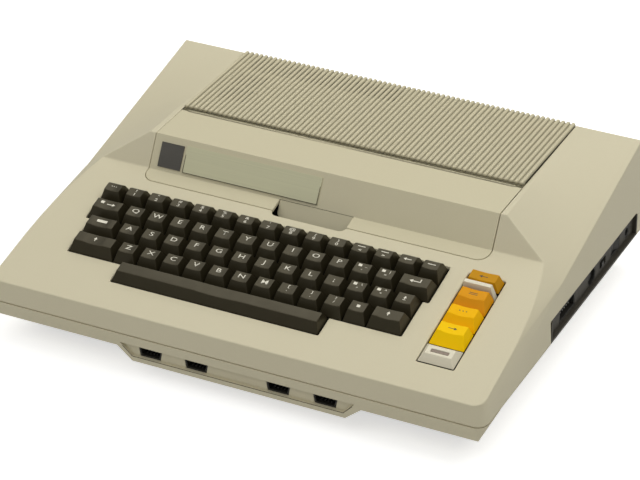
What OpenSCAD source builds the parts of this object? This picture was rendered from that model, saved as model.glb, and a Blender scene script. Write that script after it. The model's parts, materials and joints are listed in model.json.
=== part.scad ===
// Family home computer of about 1980: keyboard deck, raised cartridge hump, ribbed module cover.
// Millimetres. X runs to the right, Y to the rear, Z up. The origin is on the table under the middle.
// Distances called "depth" run from the front edge of the case to the rear, along Y.

/* [Case] */
// Distance from the console keys to the right side of the case
side_margin = 36.81; // [34:0.01:42]
// Distance from the front edge to the front row of keys, along the deck
front_margin = 29.95; // [28:0.05:34]
// How far the rear wall leans out below its top edge
rear_lean = 5.2; // [4:0.1:7]
// Height of the underside of the case above the table
base_z = 6; // [4:0.5:10]
// Height of the seam between the bottom and the top half
seam_z = 34.5; // [33:0.5:38]
// Thickness of the moulded walls
wall = 2.8; // [2:0.1:3.2]
// Height of the top case's front lip
lip_h = 16.8; // [15:0.1:20]
// Height of the bottom case's front lip, below the seam
chin_h = 11.4; // [9:0.1:13]
// How far the lower ends of that lip lie inside the sides
chin_in = 4.5; // [3:0.5:8]
// Tilt of the keyboard deck, in degrees
deck_tilt = 13.2; // [12.5:0.1:13.8]
// Radius of the two front corners, in plan
corner_r = 9; // [6:0.5:12]
// How far the side crease runs below the deck
crease_drop = 11.5; // [9:0.1:13]

/* [Hump] */
// Distance from the digit keys' row to the cartridge door
door_clear = 15.11; // [13:0.01:18]
// Length of the door's strip that lies on the deck
strip_l = 12.2; // [10:0.1:14]
// Length of the steep slope, seen from above
slope_run = 13.7; // [12:0.1:16]
// Height of the steep slope
slope_rise = 24.55; // [22:0.05:27]
// Length of the door's flat band behind the slope
band_l = 44.1; // [40:0.1:50]
// Rise of the flat top from its front to its rear edge
rear_rise = 1.1; // [0.5:0.1:3]

/* [Lids] */
// Width of the wings beside the cartridge door and the ribbed cover
wing_w = 59.3; // [56:0.1:66]
// Length of the ribbed cover
cover_l = 105.8; // [98:0.1:116]
// Gap around the lids
lid_gap = 0.4; // [0.3:0.05:0.6]
// Thickness of the lids
lid_t = 2.6; // [2.2:0.1:3]
// Distance between two ribs of the cover
rib_pitch = 4.25; // [4:0.05:5]
// Radius of a rib
rib_r = 1.6; // [1.2:0.05:1.8]
// Width of the finger notch in the door's front edge
notch_w = 62; // [50:1:70]

/* [Keyboard] */
// Distance between two keys
pitch = 19.05; // [18.8:0.01:19.3]
// Distance between the keyboard and the column of console keys
console_gap = 16.14; // [14:0.01:20]
// Travel of the keys
key_travel = 3.8; // [2.5:0.1:4]
// Height of the letter keys' tops above the deck
key_h = 7.6; // [6.5:0.1:9]
// Height of the digit keys' tops above the deck
digit_h = 8.8; // [7.5:0.1:10]
// Height of the space bar's top above the deck
space_h = 6.6; // [5.5:0.1:8]
// Height of the console keys' tops above the deck
console_h = 6.4; // [5.5:0.1:8]
// Wall of the hollow key caps
cap_wall = 1.4; // [1:0.1:1.6]
// Radius of a key's stem
stem_r = 2; // [1.6:0.1:2.2]
// Radial running clearance of the stems and pins
run_fit = 0.06; // [0.03:0.01:0.1]
// Clearance between the keys and the edge of the deck's openings
key_gap = 0.55; // [0.5:0.05:0.9]

/* [Ports] */
// Height of the side port panel
bezel_h = 18.2; // [17:0.1:20]
// Radius of the power jack's bore
jack_r = 3.2; // [2.8:0.1:3.6]

/* [Inside] */
// Thickness of the circuit boards
board_t = 1.6; // [1.2:0.1:2]
// Height of the aluminium shield's top
shield_z = 60; // [56:1:64]

/* [Hidden] */

$fn = 48;
eps = 0.01;
seat = 0.3;

// colours
beige = [0.80, 0.77, 0.68];
tan_c = [0.70, 0.67, 0.55];
dark = [0.15, 0.14, 0.11];
key_c = [0.20, 0.19, 0.16];
green = [0.10, 0.30, 0.16];
metal = [0.72, 0.73, 0.74];

// keyboard, in the tilted frame of the deck: s runs rearwards along it and h stands on it
kb_x = -20.9;
row_n = 5;
kb_s = front_margin + row_n * pitch;
console_w = 1.5 * pitch;
console_x = kb_x + 7.5 * pitch + console_gap + console_w / 2;
cap_foot = -1.2;
plate_top = -6;
plate_t = 1.5;
switch_h = 7.5;
plate_low = plate_top - plate_t;
board_top = plate_low - switch_h;
space_u = 2.73;
space_end = 11.73;
lamp_r = 2.45;

// frame of the case, from the keyboard outwards and rearwards
half_w = console_x + console_w / 2 + side_margin;
tan_d = tan(deck_tilt);
cos_d = cos(deck_tilt);
door_front = kb_s * cos_d + door_clear;
slope_foot = door_front + strip_l;
slope_head = slope_foot + slope_run;
cover_front = slope_head + band_l;
rear_edge = cover_front + cover_l;
case_d = rear_edge + rear_lean;
y_front = -case_d / 2;
lip_lean = 1.9;
lip_z = seam_z + lip_h;
deck_z0 = lip_z - tan_d * lip_lean;
deck_half = half_w - 3.1;
crease_front_z = deck_z0 - crease_drop;
crease_rear_half = half_w - 4.3;
foot_z = deck_z0 + tan_d * slope_foot;
foot_half = half_w - 17.8;
head_z = foot_z + slope_rise;
rear_z = head_z + rear_rise;
slope_a = atan2(slope_rise, slope_run);
lid_half = half_w - wing_w;
lid_w = 2 * lid_half;
head_half = lid_half + 5.5;
rear_half = lid_half + 2;
base_half = half_w - 22.5;
base_front = 27;
base_rear = case_d - 10;
floor_z = base_z + wall;
cover_low = head_z - 11.4;
bay_z = foot_z - 11.85;

// places inside the case, from its edges
slot_x = [-44, 44];
slot_w = 62;
slot_d = 20;
slot_front = slope_head + 3.1;
guide_t = 2;
guide_rim = 3;
board_x0 = 91.5 - half_w;
board_x1 = half_w - 79.5;
board_front = base_front - 4;
board_rear = rear_edge - 12.8;
board_z = floor_z + 4.1;
board_top_z = board_z + board_t;
power_x0 = half_w - 73.5;
power_x1 = half_w - 11.5;
power_front = door_front - 9;
power_rear = rear_edge - 19.8;
power_z = seam_z - 0.5;
power_top = power_z + board_t;
shield_x0 = board_x0 + 4;
shield_x1 = board_x1 - 8;
shield_front = door_front + 3;
shield_rear = rear_edge - 13.3;
shield_t = 3;
bay_x0 = shield_x0 + 10;
bay_x1 = shield_x1 - 38;
module_front = cover_front + 10;
module_pitch = (cover_l - 27.8) / 4;
module_t = module_pitch - 3.5;
module_top = cover_low - 2;
speaker_x = 57.5 - half_w;
speaker_d = 84;
screw_x = console_x + console_w / 2 + 9.3;
screw_front = 46;
screw_rear = rear_edge - 14.8;
foot_x = half_w - 43.5;
foot_depths = [screw_front + 2, screw_rear - 10];
port_low = base_z + 6.6;
port_z = board_top_z + 6.7;

function dy(d) = y_front + d;
function deck_at(d) = deck_z0 + tan_d * d;
function crease_z(d) = crease_front_z + (rear_z - crease_front_z) * d / rear_edge;
function edge_x(d) = deck_half - (deck_half - foot_half) * pow(d / slope_foot, 3);
function crease_x(d) = half_w + (crease_rear_half - half_w) * d / rear_edge;
function top_at(d) = head_z + (rear_z - head_z) * (d - slope_head) / (rear_edge - slope_head);
function key_x(u) = kb_x + (u - 7.5) * pitch;
function key_s(row) = kb_s - (row + 0.5) * pitch;

// draws its children in the tilted frame of the deck
module on_deck() { translate([0, y_front, deck_z0]) rotate([deck_tilt, 0, 0]) children(); }

// draws its children once on each side
module both_sides() {
  children();
  mirror([1, 0, 0]) children();
}

// a block between two corners, given as x, depth and z
module block(a, b) {
  translate([a[0], dy(a[1]), a[2]]) cube([b[0] - a[0], b[1] - a[1], b[2] - a[2]]);
}

// a round post on the point x, depth, z
module post(x, d, z, h, r) { translate([x, dy(d), z]) cylinder(h = h, r = r); }

// ---------------------------------------------------------------- case halves

// one thin plate of the front corner, at a depth and a height, leaning with the deck or level
module corner_disc(x, d, z, tilt, r) {
  translate([x - r, dy(d), z]) rotate([tilt, 0, 0]) translate([0, r, -0.2])
    cylinder(h = 0.2, r = r, $fn = 32);
}

// a tiny block that ends at the point x, depth, z and marks a corner of a hull
module corner_mark(x, d, z) { translate([x - mark, dy(d) - mark, z - mark]) cube(mark); }
mark = 0.05;

// the low wedge under the deck, from the seam up; t moves every face inwards
module deck_wedge(t) {
  drop = t / cos_d;
  rear = slope_foot + t;
  hull() {
    both_sides() {
      corner_disc(half_w - t, t, seam_z + 0.2, 0, corner_r - t / 2);
      corner_disc(deck_half - t, lip_lean + t, deck_at(lip_lean + t) - drop, deck_tilt, corner_r - t / 2);
      for (d = [corner_r + 4, rear]) corner_mark(crease_x(d) - t, d, crease_z(d) - t + mark);
      corner_mark(half_w - t, rear, seam_z + mark);
      corner_mark(foot_half - t * 0.7, rear, deck_at(rear) - drop);
      for (d = [50 : 20 : 130]) corner_mark(edge_x(d) - t, d, deck_at(d) - drop);
    }
  }
}

// one ring of the hump: foot, crease, wing line and top edge on the right, then the same on the left
function hump_side(k, n, t, sx) =
  let (f = k / n,
    dc = slope_foot + t + (rear_edge - slope_foot - 2 * t) * f,
    dt = slope_head + t * 0.9 + (rear_edge - slope_head - 1.9 * t) * f,
    xc = crease_x(dc) - t, zc = crease_z(dc) - t,
    xt = head_half + (rear_half - head_half) * f - t * 0.4, zt = top_at(dt) - t,
    m = 0.307, dm = dc + (dt - dc) * (f == 0 ? 0 : m))
  [[sx * (half_w - t), dy(k == n ? case_d - t : dc), seam_z],
   [sx * xc, dy(dc), zc],
   [sx * (f == 0 ? foot_half - t * 0.7 : xc + (xt - xc) * m), dy(dm),
    f == 0 ? deck_at(dc) - t / cos_d : zc + (zt - zc) * m],
   [sx * xt, dy(dt), zt]];

// the raised hump with its twisted wings, from the seam up; t moves every face inwards
module hump(t) {
  n = 10;
  pts = [for (k = [0 : n]) for (p = concat(hump_side(k, n, t, 1),
    [for (i = [3 : -1 : 0]) hump_side(k, n, t, -1)[i]])) p];
  skin = [for (k = [0 : n - 1]) for (i = [0 : 7]) let (j = (i + 1) % 8, a = 8 * k, b = a + 8)
    each [[a + i, a + j, b + i], [a + j, b + j, b + i]]];
  front = [[0, 7, 6, 5, 2, 1], [2, 5, 4, 3]];
  rear = [[for (i = [0 : 7]) 8 * n + i]];
  polyhedron(points = pts, faces = concat(skin, front, rear));
}

// the plan of the keyboard opening, grown by g
module keyboard_outline(g) {
  rows = [[0, 15, 0, 2], [0.25, 14.75, 1.9, 4], [space_u, space_end, 3.9, 5]];
  for (r = rows)
    translate([key_x(r[0]) - g, kb_s - r[3] * pitch - g])
      square([(r[1] - r[0]) * pitch + 2 * g, (r[3] - r[2]) * pitch + 2 * g]);
  translate([console_x - console_w / 2 - g, kb_s - row_n * pitch - g])
    square([console_w + 2 * g, row_n * pitch + 2 * g]);
}

// a rectangle w wide and l long with round front corners, its front edge on the axis
module round_front(w, l, r) {
  translate([-w / 2, r]) square([w, l - r]);
  translate([r - w / 2, 0]) square([w - 2 * r, r + eps]);
  for (x = [r - w / 2, w / 2 - r]) translate([x, r]) circle(r = r);
}

module top_case() {
  color(beige) difference() {
    union() {
      difference() {
        union() {
          deck_wedge(0);
          hump(0);
        }
        translate([0, 0, -eps]) union() {
          deck_wedge(wall);
          hump(wall);
        }
      }
      for (x = [-screw_x, screw_x]) {
        post(x, screw_front, seam_z, deck_at(screw_front) - seam_z - 1, screw_post_r);
        post(x, screw_rear, seam_z, rear_z - seam_z - 5, screw_post_r);
      }
      both_sides() block([lid_half + lid_gap, hinge_d - 4, hinge_z - 3.2],
        [lid_half + lid_gap + 6, hinge_d + 4, top_at(hinge_d) - 1.7]);
    }
    // openings for the lids, the keys, the side ports and the screws
    translate([0, dy(door_front - lid_gap), deck_at(door_front) - 12])
      linear_extrude(rear_z - deck_at(door_front) + 21)
        round_front(2 * (lid_half + lid_gap), cover_front + 5 - door_front, corner_r + lid_gap);
    block([-lid_half - lid_gap, cover_front, cover_low - lid_gap],
      [lid_half + lid_gap, case_d + 5, rear_z + 9]);
    translate([0, dy(notch_front), deck_at(notch_front) - 14]) linear_extrude(slope_rise + 14)
      round_front(notch_w, slope_foot - notch_front, notch_r);
    on_deck() translate([0, 0, -8]) linear_extrude(20) keyboard_outline(key_gap);
    block([half_w - wall * 3, bezel_front - seat, seam_z - 1],
      [half_w + 5, bezel_front + bezel_l + seat, seam_z + bezel_h + seat]);
    for (x = [-screw_x, screw_x]) for (d = [screw_front, screw_rear])
      post(x, d, seam_z - 1, 13, screw_r + run_fit);
    both_sides() translate([lid_half - 1, dy(hinge_d), hinge_z]) rotate([0, 90, 0])
      cylinder(h = 6, r = pin_r + run_fit);
    translate([grommet_x, dy(case_d - 12), grommet_z]) rotate([-90, 0, 0]) cylinder(h = 20, r = grommet_r);
  }
}

// driving places shared by several pieces
screw_post_r = 4.5;
screw_r = 1.5;
hinge_d = cover_front - 2.6;
hinge_z = top_at(hinge_d) - 2.05;
barrel_r = 2;
pin_r = 1.2;
pin_l = 5;
notch_front = door_front - 4.8;
notch_r = 5;
grommet_x = 120;
grommet_z = 50;
grommet_r = 5;

// plan of the case with its round front corners; t moves every edge inwards
module case_plan(t) {
  translate([-half_w + t, dy(corner_r)]) square([2 * (half_w - t), case_d - corner_r - t]);
  translate([-half_w + corner_r, dy(t)]) square([2 * (half_w - corner_r), corner_r]);
  for (x = [-half_w + corner_r, half_w - corner_r]) translate([x, dy(corner_r)]) circle(r = corner_r - t);
}

// a solid whose side view, in depth and height, is drawn by points and runs from x0 to x1
module along_x(points, x0, x1) {
  translate([x0, y_front, 0]) rotate([90, 0, 90]) linear_extrude(x1 - x0) polygon(points);
}

// a solid whose front view, in x and z, is drawn by points and runs from depth d0 to d1
module along_y(points, d0, d1) {
  translate([0, dy(d1), 0]) rotate([90, 0, 0]) linear_extrude(d1 - d0) polygon(points);
}

// the bottom half: chamfered tray, chin under the seam and housing of the ports
module bottom_shell(t) {
  intersection() {
    linear_extrude(seam_z) case_plan(t);
    union() {
      intersection() {
        along_x([[1 + t, seam_z], [1 + t, chin_z + t * 0.6], [base_front + t * 0.7, base_z + t],
          [base_rear - t * 0.7, base_z + t], [case_d - t, seam_z]], -half_w, half_w);
        along_y([[-half_w + t, seam_z], [-base_half + t * 0.6, base_z + t],
          [base_half - t * 0.6, base_z + t], [half_w - t, seam_z]], 0, case_d);
      }
      intersection() {
        along_x([[t, seam_z], [1 + t, chin_z + t * 1.3], [chin_fade - t * 2, seam_z]], -half_w, half_w);
        along_y([[-half_w + t * 1.1, seam_z], [chin_in + t * 1.1 - half_w, chin_z],
          [half_w - chin_in - t * 1.1, chin_z], [half_w - t * 1.1, seam_z]], 0, case_d);
      }
      intersection() {
        along_x([[1 + t, seam_z - 3], [1 + t, port_low + t * 0.8], [base_front + t, base_z + t],
          [base_front + 18, base_z + t], [base_front + 18, seam_z - 3]], -half_w, half_w);
        along_y([[port_left - port_out + t * 1.6, chin_z + 3], [port_left + t * 1.6, base_z - 1],
          [port_right - t * 1.6, base_z - 1], [port_right + port_out - t * 1.6, chin_z + 3]], 0, case_d);
      }
    }
  }
}

chin_z = seam_z - chin_h;
seam_gap = 0.6;
seam_in = 1.1;
chin_fade = 32;
port_left = -70;
port_right = 86;
port_out = 25.5;
port_x = [-64.9, -26.7, 40.4, 78.3];
port_face = 3.4;

// D-shaped outline of a nine-pin port, wider at the top
module port_outline(g) {
  polygon([[-9.6 - g, 3.9 + g], [9.6 + g, 3.9 + g], [8.2 + g, -3.9 - g], [-8.2 - g, -3.9 - g]]);
}

module bottom_case() {
  color(beige) difference() {
    union() {
      difference() {
        bottom_shell(0);
        translate([0, 0, eps]) bottom_shell(wall);
      }
      // panel behind the controller ports
      block([port_left - 8, port_face, port_low + 1], [port_right + 7, port_face + 2.4, chin_z + 4]);
      intersection() {
        bottom_shell(0);
        for (x = [-screw_x, screw_x]) for (d = [screw_front, screw_rear])
          post(x, d, base_z + 1, seam_z - base_z - 1, screw_post_r);
      }
      for (p = board_posts) post(p[0], p[1], base_z + 1, board_z - base_z - 1, 3);
      for (p = power_posts) post(p[0], p[1], base_z + 1, power_z - base_z - 1, 3);
    }
    // recess in front of the port panel
    along_y([[port_left - 19.4, seam_z - 8.2], [port_left - 9, seam_z - 17.5],
      [port_right + 7.6, seam_z - 17.5], [port_right + 16.6, seam_z - 8.2]], -1, port_face);
    for (x = port_x) translate([x, dy(port_face + 5), port_z]) rotate([90, 0, 0])
      linear_extrude(12) port_outline(seat);
    for (x = [-screw_x, screw_x]) for (d = [screw_front, screw_rear]) {
      post(x, d, base_z - 1, seam_z, screw_r + seat);
      post(x, d, base_z - 1, 5, screw_head_r + seat);
    }
    translate([0, 0, seam_z - seam_gap]) linear_extrude(seam_gap + 1) difference() {
      case_plan(-1);
      case_plan(seam_in);
    }
    for (row = [-2 : 2]) block([speaker_x - 16, speaker_d + row * 8 - 1.5, base_z - 1],
      [speaker_x + 16, speaker_d + row * 8 + 1.5, floor_z + 1]);
  }
}

screw_head_r = 2.8;
board_posts = [for (x = [board_x0 + 7, board_x1 - 9])
  for (d = [board_front + 17, slot_front + 24, board_rear - 10]) [x, d]];
power_posts = [[power_x0 + 20, power_front + 12], [power_x0 + 20, power_rear - 7],
  [power_x1 - 18, (power_front + power_rear) / 2 - 5]];

module rubber_feet() {
  color(dark) for (x = [-foot_x, foot_x]) for (d = foot_depths)
    translate([x, dy(d), 0]) cylinder(h = base_z, r1 = 6.5, r2 = 8);
}

module case_screws() {
  color(metal) for (x = [-screw_x, screw_x]) for (d = [screw_front, screw_rear]) {
    post(x, d, base_z + 1.6, 2.4, screw_head_r);
    post(x, d, base_z + 3.9, seam_z + 6.1 - base_z, screw_r);
  }
}

// ---------------------------------------------------------------- lids

rib_n = floor((lid_w - 2 * rib_r) / rib_pitch) + 1;
rib_x0 = -(rib_n - 1) * rib_pitch / 2;
rib_start = cover_front + 1.2;

// end view of the ribbed plate, its top face on the axis
module rib_profile() {
  translate([-lid_half, -lid_t]) square([lid_w, lid_t]);
  for (i = [0 : rib_n - 1]) translate([rib_x0 + i * rib_pitch, 0]) circle(r = rib_r);
}

module memory_cover() {
  slope = atan2(rear_z - head_z, rear_edge - slope_head);
  color(tan_c) difference() {
    union() {
      translate([0, dy(rear_edge), rear_z]) rotate([90 - slope, 0, 0])
        linear_extrude(rear_edge - rib_start) rib_profile();
      along_x([[cover_front, top_at(cover_front)], [rib_start + 1, top_at(cover_front)],
        [rib_start + 1, top_at(cover_front) - lid_t + 0.2],
          [cover_front + 2.4, top_at(cover_front) - lid_t - 0.3],
        [cover_front + 2.4, cover_low], [cover_front, cover_low]], -lid_half, lid_half);
      along_x([[rear_edge - 4, rear_z], [rear_edge, rear_z], [rear_edge + 1, cover_low],
        [rear_edge - 1.4, cover_low], [rear_edge - 2.2, rear_z - lid_t],
          [rear_edge - 4, rear_z - lid_t + 0.2]],
        -lid_half, lid_half);
    }
    // vents between the ribs
    for (v = vents) for (i = [v[0] : v[1]])
      block([rib_x0 + (i + 0.5) * rib_pitch - vent_w / 2, v[2], rear_z - 20],
        [rib_x0 + (i + 0.5) * rib_pitch + vent_w / 2, v[2] + vent_l, rear_z + 9]);
  }
}

vent_w = 0.8;
vent_l = 21;
vents = [[3, 33, rear_edge - 26.5], [3, 8, rear_edge - 55.5], [3, 8, rear_edge - 80]];

// side view of the cartridge door: flat band, steep slope and front strip, as depth and height
function door_line(t) =
  let (in = t * (1 / cos(slope_a) - 1 / cos_d) / (tan(slope_a) - tan_d))
  [[hinge_d, top_at(hinge_d) - t],
   [slope_head + t * tan(slope_a / 2), head_z - t],
   [slope_foot + in, deck_at(slope_foot + in) - t / cos_d],
   [door_front, deck_at(door_front) - t / cos_d]];

module door_profile() {
  a = door_line(0);
  b = door_line(lid_t);
  polygon([a[0], a[1], a[2], a[3], b[3], b[2], b[1], b[0]]);
}

module cartridge_door() {
  color(tan_c) difference() {
    union() {
      translate([-lid_half, y_front, 0]) rotate([90, 0, 90]) linear_extrude(lid_w) door_profile();
      both_sides() translate([lid_half - pin_l - 0.6, dy(hinge_d), hinge_z]) rotate([0, 90, 0])
        cylinder(h = pin_l + 0.6, r = barrel_r);
    }
    // rounded front corners, finger notch and pin bores
    both_sides() difference() {
      block([lid_half - corner_r, door_front - 1, foot_z - 9],
        [lid_half + 1, door_front + corner_r, foot_z + 9]);
      post(lid_half - corner_r, door_front + corner_r, foot_z - 9, 18, corner_r);
    }
    block([-notch_w / 2, door_front - 1, foot_z - 20], [notch_w / 2, slope_foot + 5, foot_z]);
    both_sides() translate([lid_half - pin_l, dy(hinge_d), hinge_z]) rotate([0, 90, 0])
      cylinder(h = pin_l + 1, r = pin_r + run_fit);
  }
}

module door_hinge_pins() {
  color(metal) both_sides() translate([lid_half - pin_l + seat, dy(hinge_d), hinge_z])
    rotate([0, 90, 0]) cylinder(h = 2 * pin_l - seat, r = pin_r);
}

// draws its children on the slope, with x across, y up the slope and z out of it
module on_slope() { translate([0, dy(slope_foot), foot_z]) rotate([slope_a, 0, 0]) children(); }

badge_t = 0.8;
badge_x = 6.7 - lid_half;
badge_l = 116;
module badge_square() {
  color(dark) on_slope() translate([badge_x, 3, 0]) cube([19.5, 19.5, badge_t]);
}
module badge_plate() {
  color([0.66, 0.67, 0.55]) on_slope() translate([badge_x + 21.7, 2.2, 0]) cube([badge_l, 21.4, badge_t]);
}

tongue_l = 13;
tongue_t = 2.2;
shelf_rear = slot_front - guide_t - guide_rim - 1;
module door_latch() {
  color(tan_c) union() {
    on_slope() translate([0, -tongue_l - 0.5, -tongue_t]) linear_extrude(tongue_t)
      round_front(notch_w - 2, tongue_l, notch_r - 1);
    block([-20, slope_foot - 4.5, bay_z], [20, shelf_rear, bay_z + tongue_t]);
  }
}

catch_x = lid_half - 36.2;
module cover_latch() {
  color(dark) {
    block([catch_x, cover_front - 2.2, cover_low + 0.5], [catch_x + 18, cover_front - seat, cover_low + 6]);
    block([catch_x + 17, cover_front - 1.8, cover_low + 1.5],
      [lid_half - pin_l - 1, cover_front - seat, cover_low + 5]);
  }
}
module cover_latch_right() { cover_latch(); }
module cover_latch_left() { mirror([1, 0, 0]) cover_latch(); }

// ---------------------------------------------------------------- cartridge bay

bay_t = 2.4;
// depth behind which the bay's side walls clear the underside of the door's slope
bay_wall_front = slope_foot + (cover_low - foot_z + lid_t / cos(slope_a)) / tan(slope_a) + 1;

// plan of a guide around a cartridge slot, grown by g
module slot_plan(x, g) {
  translate([x - slot_w / 2 - g, dy(slot_front) - g]) square([slot_w + 2 * g, slot_d + 2 * g]);
}

module bay_frame() {
  color(dark) union() {
    difference() {
      block([2 - lid_half, slope_foot + 1, bay_z - bay_t], [lid_half - 2, cover_front - 3.8, bay_z]);
      for (x = slot_x) translate([0, 0, bay_z - bay_t - 1]) linear_extrude(bay_t + 2)
        slot_plan(x, guide_t + eps);
    }
    both_sides() block([lid_half - 4, bay_wall_front, bay_z - eps],
      [lid_half - 2, cover_front - 3.8, cover_low - 1]);
  }
}

// the two chutes that lead the cartridges down through the bay's floor
module cartridge_guides() {
  color(dark) for (x = slot_x) {
    translate([0, 0, shield_z]) linear_extrude(bay_z + 6 - shield_z) difference() {
      slot_plan(x, guide_t);
      slot_plan(x, 0);
    }
    translate([0, 0, bay_z]) linear_extrude(2) difference() {
      slot_plan(x, guide_t + guide_rim);
      slot_plan(x, guide_t - eps);
    }
  }
}

module cartridge_connectors() {
  color(dark) for (x = slot_x) difference() {
    block([x - 28, slot_front + 5, board_z + board_t], [x + 28, slot_front + 14, board_z + board_t + 22]);
    block([x - 25, slot_front + 8, board_z + board_t + 6],
      [x + 25, slot_front + 11, board_z + board_t + 30]);
  }
}

plunger_x = lid_half - 26.2;
plunger_d = hinge_d - 22;
module interlock_switch() {
  color(dark) difference() {
    block([plunger_x - 7, plunger_d - 5, bay_z], [plunger_x + 7, plunger_d + 5, bay_z + 22]);
    post(plunger_x, plunger_d, bay_z + 8, 20, 1.6 + run_fit);
  }
}
module interlock_plunger() {
  color([0.85, 0.2, 0.15]) post(plunger_x, plunger_d, bay_z + 10,
    top_at(plunger_d) - lid_t - 0.4 - bay_z - 10, 1.6);
}

// ---------------------------------------------------------------- electronics

// depth at which the floor of the port housing drops clear of the main board
tab_floor = port_low + wall * 0.8;
tab_front = 1 + wall + (tab_floor - board_z + 0.5) * (base_front - 1) / (tab_floor - floor_z);
main_tab = [port_x[0] - 7, port_x[3] + 8];

module main_board() {
  color(green) difference() {
    union() {
      block([board_x0, board_front, board_z], [board_x1, board_rear, board_top_z]);
      block([main_tab[0], tab_front, board_z], [main_tab[1], board_front + 1, board_top_z]);
    }
    for (p = board_posts) post(p[0], p[1], board_z - 1, 4, screw_r - seat);
  }
}

module cast_shield() {
  rim = shield_z - 9;
  color(metal) difference() {
    block([shield_x0, shield_front, board_top_z], [shield_x1, shield_rear, shield_z]);
    block([shield_x0 + shield_t, shield_front + shield_t, board_top_z - 1],
      [shield_x1 - shield_t, shield_rear - shield_t, shield_z - shield_t]);
    block([bay_x0 - 1.2, module_front - 1, rim],
      [bay_x1 + 1.2, module_front + 3 * module_pitch + module_t + 1, shield_z + 1]);
    block([bay_x0 + 2, cover_front - 4.5, rim], [bay_x1 - 2, cover_front + 4.5, shield_z + 1]);
    for (x = slot_x) translate([0, 0, rim]) linear_extrude(shield_z + 1 - rim) slot_plan(x, 0);
  }
}

socket_x = [bay_x0 + 26, bay_x1 - 26];
cpu_d = cover_front - 1.3;
cpu_x = [bay_x0 + 8, bay_x1 - 8];
module module_sockets() {
  color(dark) {
    for (i = [0 : 3]) let (d = module_front + i * module_pitch + module_t / 2)
      block([socket_x[0], d - 4.5, board_top_z], [socket_x[1], d + 4.5, board_top_z + 11]);
    block([socket_x[0], cpu_d - 2.7, board_top_z], [socket_x[1], cpu_d + 4.3, board_top_z + 9]);
  }
}
module cpu_board() {
  color(green) block([cpu_x[0], cpu_d, board_top_z + 9], [cpu_x[1], cpu_d + board_t, module_top - 5]);
  color(dark) for (i = [1 : 3]) let (x = cpu_x[0] - 20 + i * 50)
    block([x, cpu_d + board_t, module_top - 37], [x + 15, cpu_d + board_t + 3, module_top - 7]);
}

// one plug-in module with a grip rim
module plug_module(i) {
  d = module_front + i * module_pitch;
  difference() {
    block([bay_x0, d, board_top_z + 11], [bay_x1, d + module_t, module_top]);
    block([bay_x0 + 60, d + 2, module_top - 8], [bay_x1 - 60, d + module_t - 2, module_top + 1]);
  }
}
module rom_module() { color([0.2, 0.2, 0.2]) plug_module(0); }
module memory_modules() { color([0.32, 0.22, 0.14]) for (i = [1 : 3]) plug_module(i); }

module power_board() {
  color(green) difference() {
    block([power_x0, power_front, power_z], [power_x1, power_rear, power_top]);
    for (p = power_posts) post(p[0], p[1], power_z - 1, 4, screw_r - seat);
  }
}
module heat_sink() {
  d0 = power_front + 22;
  color(metal) {
    block([power_x0 + 3, d0, power_top], [power_x0 + 7, d0 + 50, power_top + 26]);
    for (i = [0 : 5]) block([power_x0 + 6, d0 + 1 + i * 9, power_top],
      [power_x0 + 16, d0 + 3 + i * 9, power_top + 26]);
  }
}
module filter_capacitors() {
  color([0.1, 0.2, 0.45]) for (d = [power_rear - 71, power_rear - 47])
    post(power_x0 + 16, d, power_top, 30, 10);
}
module rf_modulator() {
  x = power_x0 + 3;
  d = power_rear - 31;
  color(metal) difference() {
    block([x, d, power_top], [x + 29, d + 28, power_top + 20]);
    block([x + 1, d + 1, power_top + 1], [x + 28, d + 27, power_top + 19]);
    translate([x + 14, dy(d + 27.5), power_top + 12]) rotate([-90, 0, 0])
      cylinder(h = 4, r = 3, center = true);
  }
}

// ---------------------------------------------------------------- side ports

bezel_x = half_w - 3.2;
bezel_t = 2;
bezel_back = bezel_x - bezel_t - 1.3;
bezel_front = door_front - 12;
bezel_l = rear_edge - 11.8 - bezel_front;
sio_d = bezel_front + 37.5;
sio_l = 31;
sio_h = 11.6;
port_mid = seam_z + 9.6;
jack_d = bezel_front + bezel_l - 15;
jack_body_r = 5;
rocker_d = jack_d - 25;
rocker_l = 19;
chan_d = rocker_d - 26;
chan_l = 12;
din_d = chan_d - 23;
din_r = 7.6;

module side_bezel() {
  color(dark) difference() {
    block([bezel_x - bezel_t - 1, bezel_front, seam_z],
      [half_w - 0.2, bezel_front + bezel_l, seam_z + bezel_h]);
    block([bezel_x, bezel_front + 2, seam_z + 2],
      [half_w + 1, bezel_front + bezel_l - 2, seam_z + bezel_h + 1]);
    block([bezel_x - 9, sio_d - sio_l / 2, port_mid - sio_h / 2],
      [bezel_x + 1, sio_d + sio_l / 2, port_mid + sio_h / 2]);
    block([bezel_x - 9, chan_d - chan_l / 2, port_mid - 3.2],
      [bezel_x + 1, chan_d + chan_l / 2, port_mid + 3.2]);
    block([bezel_x - 9, rocker_d - rocker_l / 2, port_mid - 6],
      [bezel_x + 1, rocker_d + rocker_l / 2, port_mid + 6]);
    for (p = [[din_d, din_r + 0.2], [jack_d, jack_body_r + 0.2]])
      translate([bezel_x - 9, dy(p[0]), port_mid]) rotate([0, 90, 0]) cylinder(h = 20, r = p[1]);
  }
}

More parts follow.
